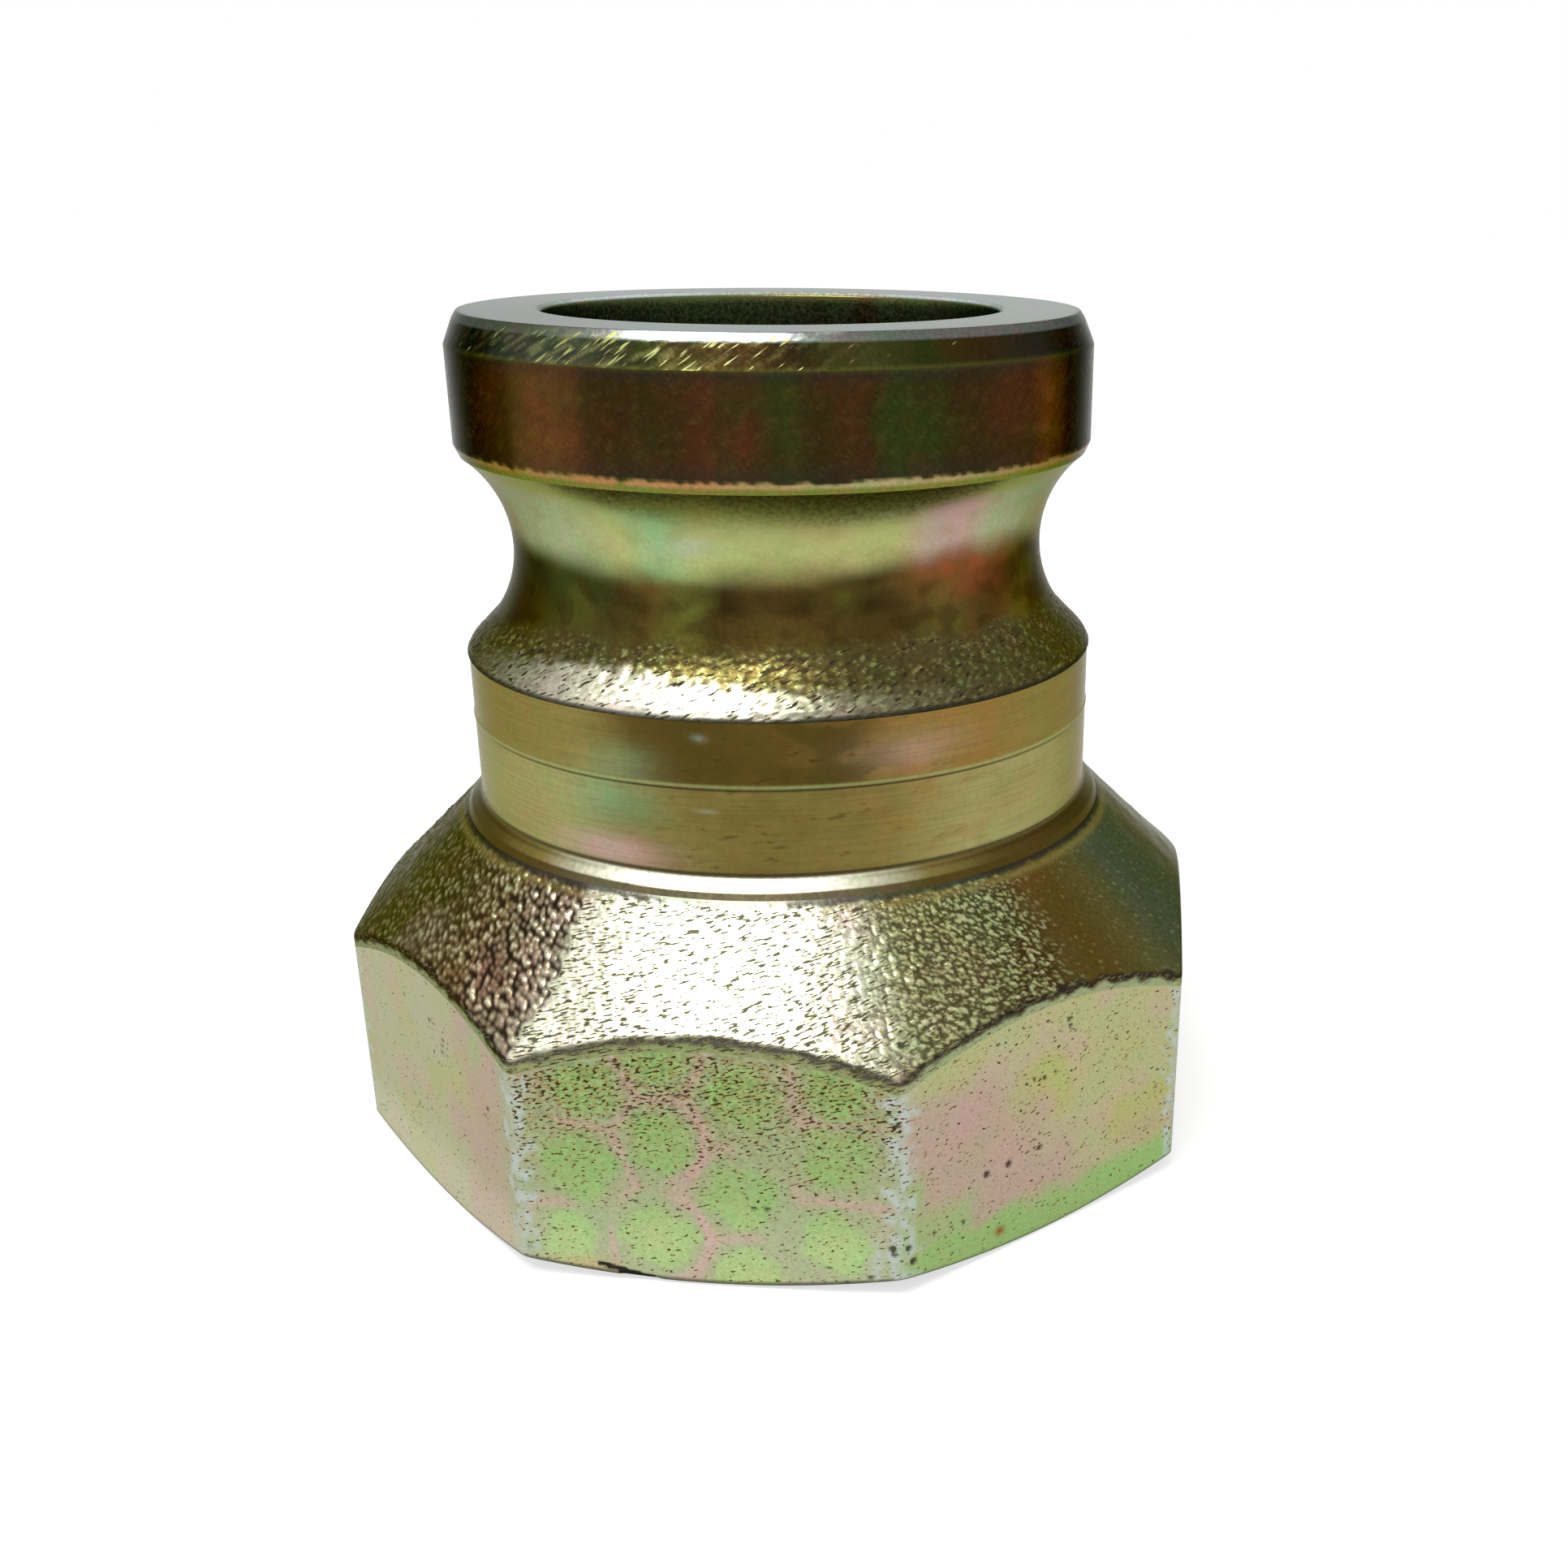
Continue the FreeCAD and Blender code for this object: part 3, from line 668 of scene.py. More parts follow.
class REDUCER_OT_cam_groove(bpy.types.Operator):
    """Turns the cam groove and leaves the forged shoulder below it rough."""

    bl_idname = "reducer.cam_groove"
    bl_label = "Cam groove and shoulder"

    def execute(self, context):
        f = form(context)
        c = context.scene.reducer_film
        ring = Ring(*section([
            *self.arc(f), (f.groove_end, f.groove_end_z, 0, 0.18), (f.shoulder_lip, f.shoulder_z, 0.6, 0.18),
            (f.shoulder_radius, f.collar_top, 0.18, 0.18), (f.collar_radius, f.collar_top, 0, 5.0),
            (f.bore_radius, f.collar_top, 0, 2.6), (f.bore_radius, f.break_z, 0, 5.0),
        ]), columns(880), f.head)
        r, z = ring.r, ring.z
        seen = ease(r, f.groove_bottom - 1.5, f.groove_bottom - 0.5) * (z > f.collar_top + 0.02)
        skin_top, slope_stretch = 57.4, 1.25
        edge = skin_top - 2.6 * ring.near(-80, 34) + 1.6 * (ring.noise((5.0, 4.0), 21) - 0.5)
        rough = seen * ease(edge - z, 0.0, 1.8)
        sloping = z * slope_stretch
        bells, _, _ = ring.beads((0.66, 0.42), 22, lean=0.42, up=sloping, girth=f.collar_radius)
        strokes = ring.noise((1.1, 0.36), 23, lean=0.42, up=sloping)
        coarse = ring.noise((1.3, 1.0), 26, up=sloping)
        busy = 0.45 + 0.55 * ring.near(-12, 36)
        lift = rough * busy * (0.04 * (bells - 1.3) - 0.05 * ease(strokes, 0.5, 0.8) + 0.06 * (coarse - 0.6))
        brushed = ring.noise((1.8, 0.35), 24, lean=0.12, girth=f.groove_bottom)
        ring.emboss(lift - 0.006 * seen * (1 - rough) * brushed)
        film = self.groove(c, ring)
        # lit: where the shoulder is painted silver as a highlight, at the front and low down.
        lit = ring.near(-11, 28) * ease(53.8 + 1.4 * ring.near(-20, 22) + 1.2 * (coarse - 0.5) - z, 0, 1.5)
        self.shoulder(c, ring, film, rough, busy, lit, bells, strokes, coarse)
        # Painted shade: a blue-black line along the shoulder's lower edge, just over the collar.
        film.wash(c.blue_black_and_shade, 0.9 * ease(f.collar_top + 0.62 - z, 0, 0.3) * seen)
        film.wash(c.bore, 1 - ease(r, f.bore_radius + 0.2, f.bore_radius + 0.6))
        finish = chromated_steel(
            "grooved_chromated_steel", c, roughness=0.3, edge="#b0b0a4", mottle=0.4, speck=0.1, grain=0.4,
            grain_depth=0.003, stroke=(1.0, 1.0, 0.2), slant=24, flaw=c.blue_black_and_shade, lip=c.bronze,
        )
        add_ring("cam_groove", ring, finish, film, stipple=(0.86 - 0.06 * lit) * ease(rough, 0.2, 0.6))
        return {"FINISHED"}

    def arc(self, f):
        """Corners on the groove's arc: its centre less the radius times a cosine, and plus it times the sine.

        They lie closer together below the height where the rough forged skin can begin.
        """
        skin_limit = 58.6
        start, skin, end = [math.asin((z - f.groove_z) / f.groove_radius)
                            for z in (f.break_z, skin_limit, f.groove_end_z)]
        sweep = np.concatenate([np.linspace(start, skin, 34)[:-1], np.linspace(skin, end, 24)[:-1]])
        return [(f.groove_centre - f.groove_radius * math.cos(t), f.groove_z + f.groove_radius * math.sin(t),
                 0, 9.0) for t in sweep]

    def groove(self, c, ring):
        """Film in the groove with a painted reflection laid over it: pale in the upper half, dark and
        blotched below its middle.
        """
        z = ring.z
        cloud = ring.noise((7.0, 4.5), 25, lean=0.15)
        blot = ring.noise((2.6, 1.6), 27, lean=0.1)
        film = Film(ring.shape, ring.around({
            -160: c.lime, -110: c.rose, -75: c.olive, -60: c.gold, -50: c.sage, -33: c.sage, -20: c.lime,
            -12: c.mint, -4: c.lime, 6: c.lime, 22: c.sulphur, 33: c.sulphur, 41: c.rose, 48: c.rose,
            56: c.sage, 66: c.sage, 78: c.straw, 92: c.olive, 130: c.mint, 155: c.rose,
        }))
        # The painted dark reflection in the lower half, blue-black towards the sides.
        dark = ring.around({
            -150: c.bronze, -90: c.blue_black_and_shade, -66: c.blue_black_and_shade, -50: c.umber, -40: c.forest, -32: c.moss, -24: c.forest,
            -16: c.bronze, -8: c.olive, 0: c.umber, 10: c.bronze, 18: c.tobacco, 28: c.umber, 38: c.bronze,
            47: c.bronze, 58: c.brown, 68: c.bronze, 80: c.umber, 100: c.blue_black_and_shade, 140: c.rust,
        })
        turn_z = 63.2 + 1.6 * (cloud - 0.5) + 1.0 * ring.near(55, 24) - 0.4 * ring.near(-15, 18)
        film.wash(dark, ease(turn_z - z, -1.7, 1.7))
        film.wash(c.frost, 0.5 * ring.patch((-5, 65.6), (4, 0.9)))
        # An olive band just under the head, reaching lower at the front: a painted reflection of the head's
        # shade.
        film.wash(c.moss_light, 0.9 * ease(z - 70.3 + 1.6 * ring.near(9, 50), -0.9, 0.6))
        film.wash(c.gold, 0.2 * ease(z, 60, 63) * ease(blot, 0.45, 0.85))
        film.wash(c.olive, 0.3 * ease(62.5 - z, 0, 1.5) * ease(cloud, 0.55, 0.8))
        film.wash(c.umber, 0.6 * ease(62.8 - z, 0, 1.2) * ease(0.55 - cloud, 0.0, 0.3))
        film.wash(c.moss, 0.6 * ease(62.5 - z, 0, 1.5) * ring.near(-37, 12) * ease(0.65 - cloud, 0, 0.3))
        film.wash(c.rust, 0.95 * ring.patch((50, 62.8), (12, 1.4)) * (0.5 + 0.5 * ease(blot, 0.3, 0.6)))
        film.wash(c.rust, 0.45 * ring.patch((52, 60.6), (10, 1.4)))
        # Blue-black patches towards the sides: painted dark reflection.
        film.wash(c.blue_black_and_shade, 0.5 * ring.patch((72, 61.8), (9, 2.4)) + 0.55 * ring.patch((-58, 61.2), (11, 2.2)))
        film.wash(c.bronze, 0.6 * ease(60.2 - z, 0, 1.5) * ring.near(15, 60))
        film.wash(c.umber, 0.45 * ease(62.4 - z, 0, 1.4) * ease(blot, 0.5, 0.75))
        film.wash(c.blue_black_and_shade, 0.6 * ring.patch((-46, 61.2), (7, 1.8)))
        film.wash(c.brown, 0.4 * ring.patch((-14, 61.6), (7, 1.2)) * ease(blot, 0.3, 0.6))
        return film

    def shoulder(self, c, ring, film, rough, busy, lit, bells, strokes, coarse):
        """Forged skin on the shoulder: a painted silver highlight where it is lit, else beads with painted
        glints of lime on their tops, painted shade of umber in the strokes and hollows between, and darker
        away from the front.
        """
        film.wash(c.forged, rough * 0.8)
        film.wash(c.gold, rough * busy * 0.2 * ease(coarse, 0.4, 0.7))
        film.wash(c.blue_black_and_shade, rough * 0.28 * (1 - ring.near(-5, 44)))
        film.wash(c.silver, ease(rough, 0, 0.8) * lit)
        film.wash(c.umber, rough * busy * (1 - 0.85 * lit) * 0.7 * ease(strokes, 0.52, 0.72))
        shaded = rough * busy * (1 - lit)
        film.wash(c.umber, shaded * 0.5 * ease(0.4 - bells, -0.05, 0.15))
        film.wash(c.lime, shaded * 0.75 * ease(bells, 0.8, 1.1) * ease(0.62 - strokes, 0, 0.1))


class REDUCER_OT_turned_collar(bpy.types.Operator):
    """Turns the collar, with its feed marks, the ridge where two cuts meet, and the fillet at its foot."""

    bl_idname = "reducer.turned_collar"
    bl_label = "Turned collar"

    def execute(self, context):
        f = form(context)
        c = context.scene.reducer_film
        ring = Ring(*section([
            (f.collar_radius, f.collar_top, 0, 0.076), (f.collar_radius, f.lip_z + 1.15, 1.0, 0.14),
            (f.lip_r, f.lip_z, 0.3, 0.1), (f.dome_r, f.dome_z, 0, 5.0),
            (f.bore_radius, f.dome_z, 0, 2.5), (f.bore_radius, f.collar_top, 0, 5.0),
        ]), columns(400), f.collar_radius)
        z = ring.z
        seen = ease(ring.r, f.collar_radius - 0.6, f.collar_radius - 0.3)
        wall = seen * ease(z, f.collar_foot + 0.1, f.collar_foot + 0.3) * ease(f.collar_top - z, 0.0, 0.1)
        lower = ease(f.witness_height - z, -0.2, 0.2)
        blot = ring.noise((3.0, 1.8), 34, lean=0.1)
        dent = ring.noise((1.3, 0.42), 31, lean=0.3)
        knock = ease(dent, 0.68, 0.8) * ease(blot, 0.5, 0.65) * ring.near(12, 26)
        self.cut(f, ring, wall, lower, knock)
        film = self.wall(c, ring, wall, lower, blot)
        film.wash(c.umber, 0.55 * wall * knock)
        # A painted highlight of pale frost on two nicks in the collar.
        nick_highlight = ring.patch((-2.9, 49.6), (1.1, 0.35)) + ring.patch((-2.2, 42.75), (1.5, 0.2))
        film.wash(c.frost, 0.3 * np.clip(nick_highlight, 0, 1))
        # A painted highlight above the ridge where two cuts meet, and painted shade below it.
        film.wash(c.lime, 0.6 * bell(z - f.witness_height - 0.12, 0.14) * wall)
        film.wash(c.blue_black_and_shade, 0.68 * bell(z - f.witness_height + 0.2, 0.13) * wall)
        self.foot(f, c, ring, film, seen)
        film.wash(c.bore, 1 - ease(ring.r, f.bore_radius + 0.2, f.bore_radius + 0.6))
        finish = chromated_steel("bright_turned_chromated_steel", c, roughness=0.27, edge="#c8c8b8",
                                 mottle=0.35, speck=0.08, grain=0.5, grain_depth=0.004)
        add_ring("turned_collar", ring, finish, film)
        return {"FINISHED"}

    def cut(self, f, ring, wall, lower, knock):
        """The ridge is a parabola, the feed marks a cosine of the height, and the knocks soft dents."""
        feed_pitch = 0.3
        away = (ring.z - f.witness_height) / (f.witness_width / 2)
        ridge = f.witness_rise * np.clip(1 - away ** 2, 0, None)
        feed = (0.0015 + 0.0045 * lower) * np.cos(2 * math.pi * ring.z / feed_pitch)
        lift = wall * (ridge + feed - 0.04 * knock)
        for place, size, depth in (
            ((-31.8, 49.1), (1.0, 0.16), 0.05), ((-2.9, 49.5), (1.1, 0.28), 0.03),
            ((-2.2, 42.6), (1.5, 0.16), 0.05), ((24.3, 42.8), (1.0, 0.22), 0.04),
            ((14.0, 42.6), (1.1, 0.2), 0.04), ((-13.0, 42.2), (0.4, 0.5), 0.03),
        ):
            lift = lift - depth * wall * ring.patch(place, size)
        ring.emboss(lift)

    def wall(self, c, ring, wall, lower, blot):
        """Ochre to tobacco film above the ridge and straw below it, with green and pink patches."""
        cloud = ring.noise((8.0, 4.0), 32, lean=0.1)
        thin = ring.noise((9.0, 0.18), 33)
        film = Film(ring.shape, ring.around({
            -150: c.gold, -100: c.straw, -75: c.bronze, -60: c.gold, -24: c.gold, -14: c.bronze,
            -6: c.tobacco, 22: c.tobacco, 33: c.ochre, 46: c.ochre, 60: c.gold, 72: c.gold, 88: c.bronze,
            120: c.rose, 150: c.gold,
        }))
        film.wash(ring.around({
            -150: c.straw, -100: c.straw, -75: c.gold, -56: c.straw, -30: c.straw, -15: c.gold, 28: c.gold,
            44: c.straw, 66: c.straw, 84: c.gold, 140: c.salmon,
        }), lower * (0.85 + 0.3 * (cloud - 0.5)))
        film.wash(c.ochre, 0.4 * ease(blot, 0.48, 0.78) * ring.near(32, 20))
        film.wash(c.tobacco, 0.6 * ease(0.5 - blot, 0, 0.25) * ring.near(5, 22) * (1 - 0.7 * lower))
        film.wash(c.mint, 0.8 * ring.patch((-19.0, 43.0), (8.0, 2.6)) * (0.6 + 0.5 * cloud))
        film.wash(c.forest, 0.4 * ring.patch((-17.0, 42.2), (7.0, 2.4)))
        film.wash(c.tobacco, 0.3 * ring.near(8, 17) * lower)
        film.wash(c.mint, 0.3 * ring.patch((-17, 47.0), (6, 1.6)))
        film.wash(c.rose, 0.95 * ring.patch((-20.0, 38.0), (9.5, 1.5)))
        film.wash(c.rose, 0.4 * ring.patch((33, 47.8), (9, 1.8)))
        film.wash(c.rose, 0.5 * ring.near(88, 8))
        film.wash(c.ochre, 0.4 * ease(cloud, 0.45, 0.8) * (1 - lower) * ring.near(45, 30))
        film.wash(c.tobacco, 0.16 * ease(thin, 0.4, 0.75) * wall)
        return film

    def foot(self, f, c, ring, film, seen):
        """A painted highlight in the fillet at the front, between painted shade lines at the collar's foot
        and on the lip.
        """
        z = ring.z
        # Painted shade: darker at the collar's foot, and in lines on and below the lip; the silver at the
        # front of the fillet is a painted highlight.
        film.wash(c.bronze, 0.8 * seen * ease(f.collar_foot + 0.35 - z, 0, 0.3))
        film.wash(ring.around({
            -130: c.olive, -70: c.umber, -48: c.bronze, -34: c.gold, -20: c.silver, 20: c.silver, 34: c.gold,
            48: c.bronze, 80: c.umber, 130: c.olive,
        }), seen * ease(f.lip_z + 1.2 - z, 0, 0.15))
        film.wash(c.blue_black_and_shade, 0.75 * bell(z - f.collar_foot - 0.16, 0.15) * seen)
        film.wash(c.umber, 0.6 * bell(z - f.lip_z - 0.8, 0.12) * seen * (1 - ring.near(2, 30)))
        film.wash(c.tobacco, 0.9 * ease(f.lip_z + 0.16 - z, 0, 0.15) * seen)


FORGED_COLUMNS = 944
FORGED_CROWD = 0.3
DOME_GIRTH = 39.0
FLAT_GIRTH = 44.0


def nearest_flat(angle):
    """The nearest flat's number, counted from -Y towards +X, and the degrees from that flat's middle."""
    number = np.round(angle / FLAT_TURN)
    return number % FLATS, angle - FLAT_TURN * number


def octagon(f, angle):
    """Radius of the eight flats at an azimuth: a straight side's secant, or an arc near each corner."""
    _, side = nearest_flat(angle)
    flat = f.apothem / np.cos(np.radians(side))
    off = np.radians(HALF_FLAT - np.abs(side))
    half = math.pi / FLATS
    centre = (f.apothem - f.corner_round) / math.cos(half)
    arc = centre * np.cos(off) + np.sqrt(np.maximum(f.corner_round ** 2 - (centre * np.sin(off)) ** 2, 0))
    tangent = half - math.atan((f.apothem - f.corner_round) * math.tan(half) / f.apothem)
    return np.where(off < tangent, arc, flat)


def crest_height(f, angle):
    """Height at which the flats meet the forged cone at an azimuth."""
    return f.dome_z - (octagon(f, angle) - f.dome_r) * f.dome_slope


def crest_join(f, angle):
    """Height at which the rolled crest hands over to the plain flats."""
    arc_reach = 0.45
    return crest_height(f, angle) - f.crest_round * arc_reach - f.crest_band


class REDUCER_OT_forged_dome(bpy.types.Operator):
    """Forges the dome down to the crest of the flats, and turns the stop and the reducing taper inside it."""

    bl_idname = "reducer.forged_dome"
    bl_label = "Forged dome"

    def execute(self, context):
        f = form(context)
        c = context.scene.reducer_film
        angle = columns(FORGED_COLUMNS, FORGED_CROWD)
        ring, outer_rows = self.rows(f, angle)
        z = ring.z
        slope_stretch = 1.39
        g = SimpleNamespace(crest=crest_height(f, angle), slant=(f.dome_z - z) * slope_stretch)
        g.seen = (np.arange(len(z)) < outer_rows)[:, None] * 1.0
        g.down = np.clip((f.dome_z - z) / (f.dome_z - g.crest), 0, 1)
        g.skin = g.seen * ease(f.dome_z - z, 0.0, 0.6) * ease(z - crest_join(f, angle), 0.0, 0.5)
        self.sides(ring, g)
        self.hammer(f, ring, g)
        film = self.skin(c, ring, g)
        rolled, stained = self.edges(f, c, ring, film, g)
        finish = chromated_steel(
            "forged_chromated_steel", c, roughness=0.26, edge="#b0b0a4", mottle=0.35, speck=0.18, grain=0.3,
            grain_depth=0.01, stroke=(0.9, 0.9, 0.14), flaw=c.blue_black_and_shade, lip=c.straw,
        )
        dense = g.skin * g.middle * (1.0 + 0.02 * ease(angle, -4, 22) + 0.08 * ease(g.down, 0.6, 1.0)
                                     + 0.1 * bell(f.dome_z - z - 0.9, 0.3) - 0.2 * g.sparkly)
        dense = np.maximum(dense, np.maximum(0.8 * rolled, stained))
        add_ring("forged_dome", ring, finish, film, stipple=dense)
        return {"FINISHED"}

    def rows(self, f, angle):
        """The ring, and how many of its rows lie outside.

        Straight rows run down the cone to where the crest's arc begins at each azimuth, the arc rolls over to
        the flat, and a short band goes down the flat. Inside are the stop and the reducing taper.
        """
        out_r, crest = octagon(f, angle), crest_height(f, angle)
        lean = math.atan2(f.dome_rise, f.blank - f.dome_r)
        turn = math.pi / 2 - lean
        reach = f.crest_round * math.tan(turn / 2)
        share = np.linspace(0, 1, 82)[:, None]
        top_r = between(f.dome_r, out_r - reach * math.cos(lean), share)
        top_z = between(f.dome_z, crest + reach * math.sin(lean), share)
        bend = turn + np.linspace(0, 1, 7)[1:-1, None] * turn
        arc_r = out_r - f.crest_round + f.crest_round * np.sin(bend)
        arc_z = crest - reach + f.crest_round * np.cos(bend)
        fall = np.linspace(0, 1, 5)[:, None]
        band_r = out_r + 0 * fall
        band_z = between(crest - reach, crest_join(f, angle), fall)
        inner = np.array([
            (f.skin_radius, f.stop_height), (f.relief_radius, f.stop_height),
            (f.relief_radius - 2.5, f.stop_height), (f.stop_radius, f.stop_height),
            *[(between(f.stop_radius, f.bore_radius, t), between(f.stop_height, f.taper_top, t))
              for t in np.linspace(0, 1, 8)[1:]],
            (f.bore_radius, f.dome_z),
        ])
        wide = np.ones_like(angle)
        r = np.concatenate([top_r, arc_r, band_r, inner[:, :1] * wide])
        z = np.concatenate([top_z, arc_z, band_z, inner[:, 1:] * wide])
        outer_rows = len(r) - len(inner)
        crisp = np.zeros(len(r), bool)
        crisp[[0, outer_rows - 1, outer_rows, outer_rows + 1, outer_rows + 3, len(r) - 2, len(r) - 1]] = True
        return Ring(r, z, crisp, angle, DOME_GIRTH), outer_rows

    def sides(self, ring, g):
        """Masks of the hammered west side, the plain east side, and the lit middle with its sparkly part."""
        angle = ring.angle
        g.ragged = ring.noise((2.2, 1.2), 47, up=g.slant)
        fold = -HALF_FLAT + 1.4 * np.sin(math.pi * g.down) + 2.4 * (g.ragged - 0.5)
        g.west = ease(fold - angle, -0.3, 0.5) * ease(angle, -120, -100)
        g.east = ease(angle + 4 * (g.ragged - 0.5), 44, 52) * ease(150 - angle, 0, 30)
        g.middle = 1 - np.maximum(g.west, g.east)
        g.sparkly = ease(angle + 8 * (g.ragged - 0.5), 15, 27) * (1 - g.east) * (angle < 90)

    def hammer(self, f, ring, g):
        """Beads and wrinkles on each side, slow swells, and a soft ridge up the dome from each corner."""
        g.bells, _, _ = ring.beads((0.68, 0.62), 41, lean=0.25, up=g.slant)
        g.seeds, _, _ = ring.beads((0.5, 0.44), 48, lean=0.3, up=g.slant)
        wrinkle = ring.noise((1.0, 0.55), 43, lean=0.25, up=g.slant) - 0.5
        swell = ring.noise((3.4, 2.6), 44, up=g.slant)
        corner = bell(HALF_FLAT - np.abs(nearest_flat(ring.angle)[1]), 3.2)
        calm = 1 - 0.8 * ring.near(74, 20) - 0.5 * ring.near(-72, 12)
        lift = g.west * (0.12 * (g.bells - 1.3) + 0.06 * wrinkle)
        lift = lift + g.middle * ((0.03 + 0.08 * g.sparkly) * (g.seeds - 1.3) + 0.05 * wrinkle)
        lift = lift + g.east * (0.02 * (g.seeds - 1.3) + 0.03 * wrinkle)
        lift = calm * lift + 0.12 * (swell - 0.8) + f.dome_ridge * corner * ease(g.down, 0.5, 0.9)
        ring.emboss(g.skin * ease(ring.z - g.crest, -0.3, 1.0) * lift)
        across = ring.points[..., :2]
        inside = np.minimum(1, octagon(f, ring.angle) / np.maximum(np.linalg.norm(across, axis=-1), 1e-6))
        ring.points[..., :2] = np.clip(across * inside[..., None], -f.apothem, f.apothem)

    def skin(self, c, ring, g):
        """A painted silver highlight at the front, brown-pink beads to the left, gold-green ones right and
        teal beyond, with painted glints on the beads' tops and painted shade between them.
        """
        angle = ring.angle
        g.cloud = ring.noise((8.0, 5.0), 45, lean=0.2)
        # The silver from -24 to 20 degrees is a painted highlight at the front, fading through gold to the
        # left and lime and straw to the right.
        film = Film(ring.shape, ring.around({
            -150: c.forged, -110: c.teal, -80: c.forged, -44: c.forged, -36: c.gold, -24: c.silver,
            20: c.silver, 27: c.lime, 34: c.straw, 43: c.bronze, 56: c.bronze, 63: c.forged, 72: c.teal,
            84: c.teal, 95: c.forged, 130: c.olive, 160: c.forged,
        }))
        film.wash(c.cinder, 0.85 * g.west * ring.near(-28, 13))
        film.wash(c.rust, 0.2 * ring.patch((51, 34), (6, 2.0)) + 0.3 * ring.patch((-33, 27), (7, 2.6)))
        film.wash(c.rose, 0.25 * ease(g.cloud, 0.5, 0.85) * (g.west + 1.2 * g.middle))
        film.wash(c.mint, 0.35 * ease(0.5 - g.cloud, 0.0, 0.4) * g.middle)
        # On the hammered side, painted shade in the hollows between the beads and painted glints on their
        # tops, strongest near the middle.
        highlight_side, hammered = ring.near(-29, 14), g.skin * g.west
        film.wash(c.umber, hammered * (0.4 + 0.4 * highlight_side) * ease(0.55 - g.bells, -0.1, 0.25))
        film.wash(c.pit, hammered * (0.3 + 0.6 * highlight_side) * ease(0.24 - g.bells, -0.06, 0.08))
        film.wash(c.straw, hammered * 0.55 * ease(g.bells, 0.75, 1.05))
        film.wash(c.silver, hammered * (0.1 + 0.5 * highlight_side) * ease(g.bells, 0.9, 1.2))
        film.wash(c.forest, g.skin * 0.35 * ring.near(-70, 14))
        film.wash(c.rose, g.skin * g.sparkly * 0.3 * patch(angle, g.down, (30, 0.8), (9, 0.3)))
        # The sparkly part: painted shade in its hollows and painted glints of lime and silver on its beads.
        dim, bright = ease(angle + 10 * (g.cloud - 0.5), 17, 33), g.skin * g.sparkly
        film.wash(c.umber, bright * 0.85 * ease(0.46 + 0.16 * dim - g.seeds, -0.1, 0.15))
        film.wash(c.lime, bright * 0.85 * ease(g.seeds, 0.65, 0.9))
        film.wash(c.silver, bright * (0.8 - 0.5 * dim) * ease(g.seeds, 0.85, 1.1))
        # Painted glints of straw and painted shade of tobacco on the east side's beads.
        film.wash(c.straw, g.skin * g.east * 0.4 * ease(g.seeds, 1.2, 1.4))
        film.wash(c.tobacco, g.skin * g.east * 0.35 * ease(0.3 - g.seeds, -0.05, 0.1))
        return film

    def edges(self, f, c, ring, film, g):
        """Dark film as painted shade over the rolled crest and in a line round the dome's top, and the film
        of flats and bore.
        """
        z = ring.z
        fuzz = ring.noise((1.5, 1.0), 49, lean=0.2) - 0.5
        # Painted shade: the crest colour over the rolled crest.
        rolled = g.seen * ease(g.crest + 0.12 + 0.6 * fuzz - z, -0.2, 0.25)
        film.wash(c.crest, 0.92 * rolled)
        band = g.seen * ease(g.crest - 0.55 + 0.9 * fuzz - z, -0.05, 0.3)
        stained = band * (np.abs(ring.angle) < HALF_FLAT)
        film.wash(c.sage, 0.85 * band)
        film.wash(c.olive, 0.45 * stained)
        # Painted shade: a blue-black line just below the dome's top edge.
        film.wash(c.blue_black_and_shade, g.seen * 0.85 * ease(0.55 + 0.6 * fuzz - (f.dome_z - z), 0, 0.25))
        film.wash(c.gold, g.seen * 0.7 * bell(f.dome_z - z - 0.75, 0.3) * (1 - ring.near(0, 20)))
        film.wash(c.khaki, 1 - g.seen)
        film.wash(c.bore, (1 - g.seen) * ease(z, 30, 34))
        return rolled, stained


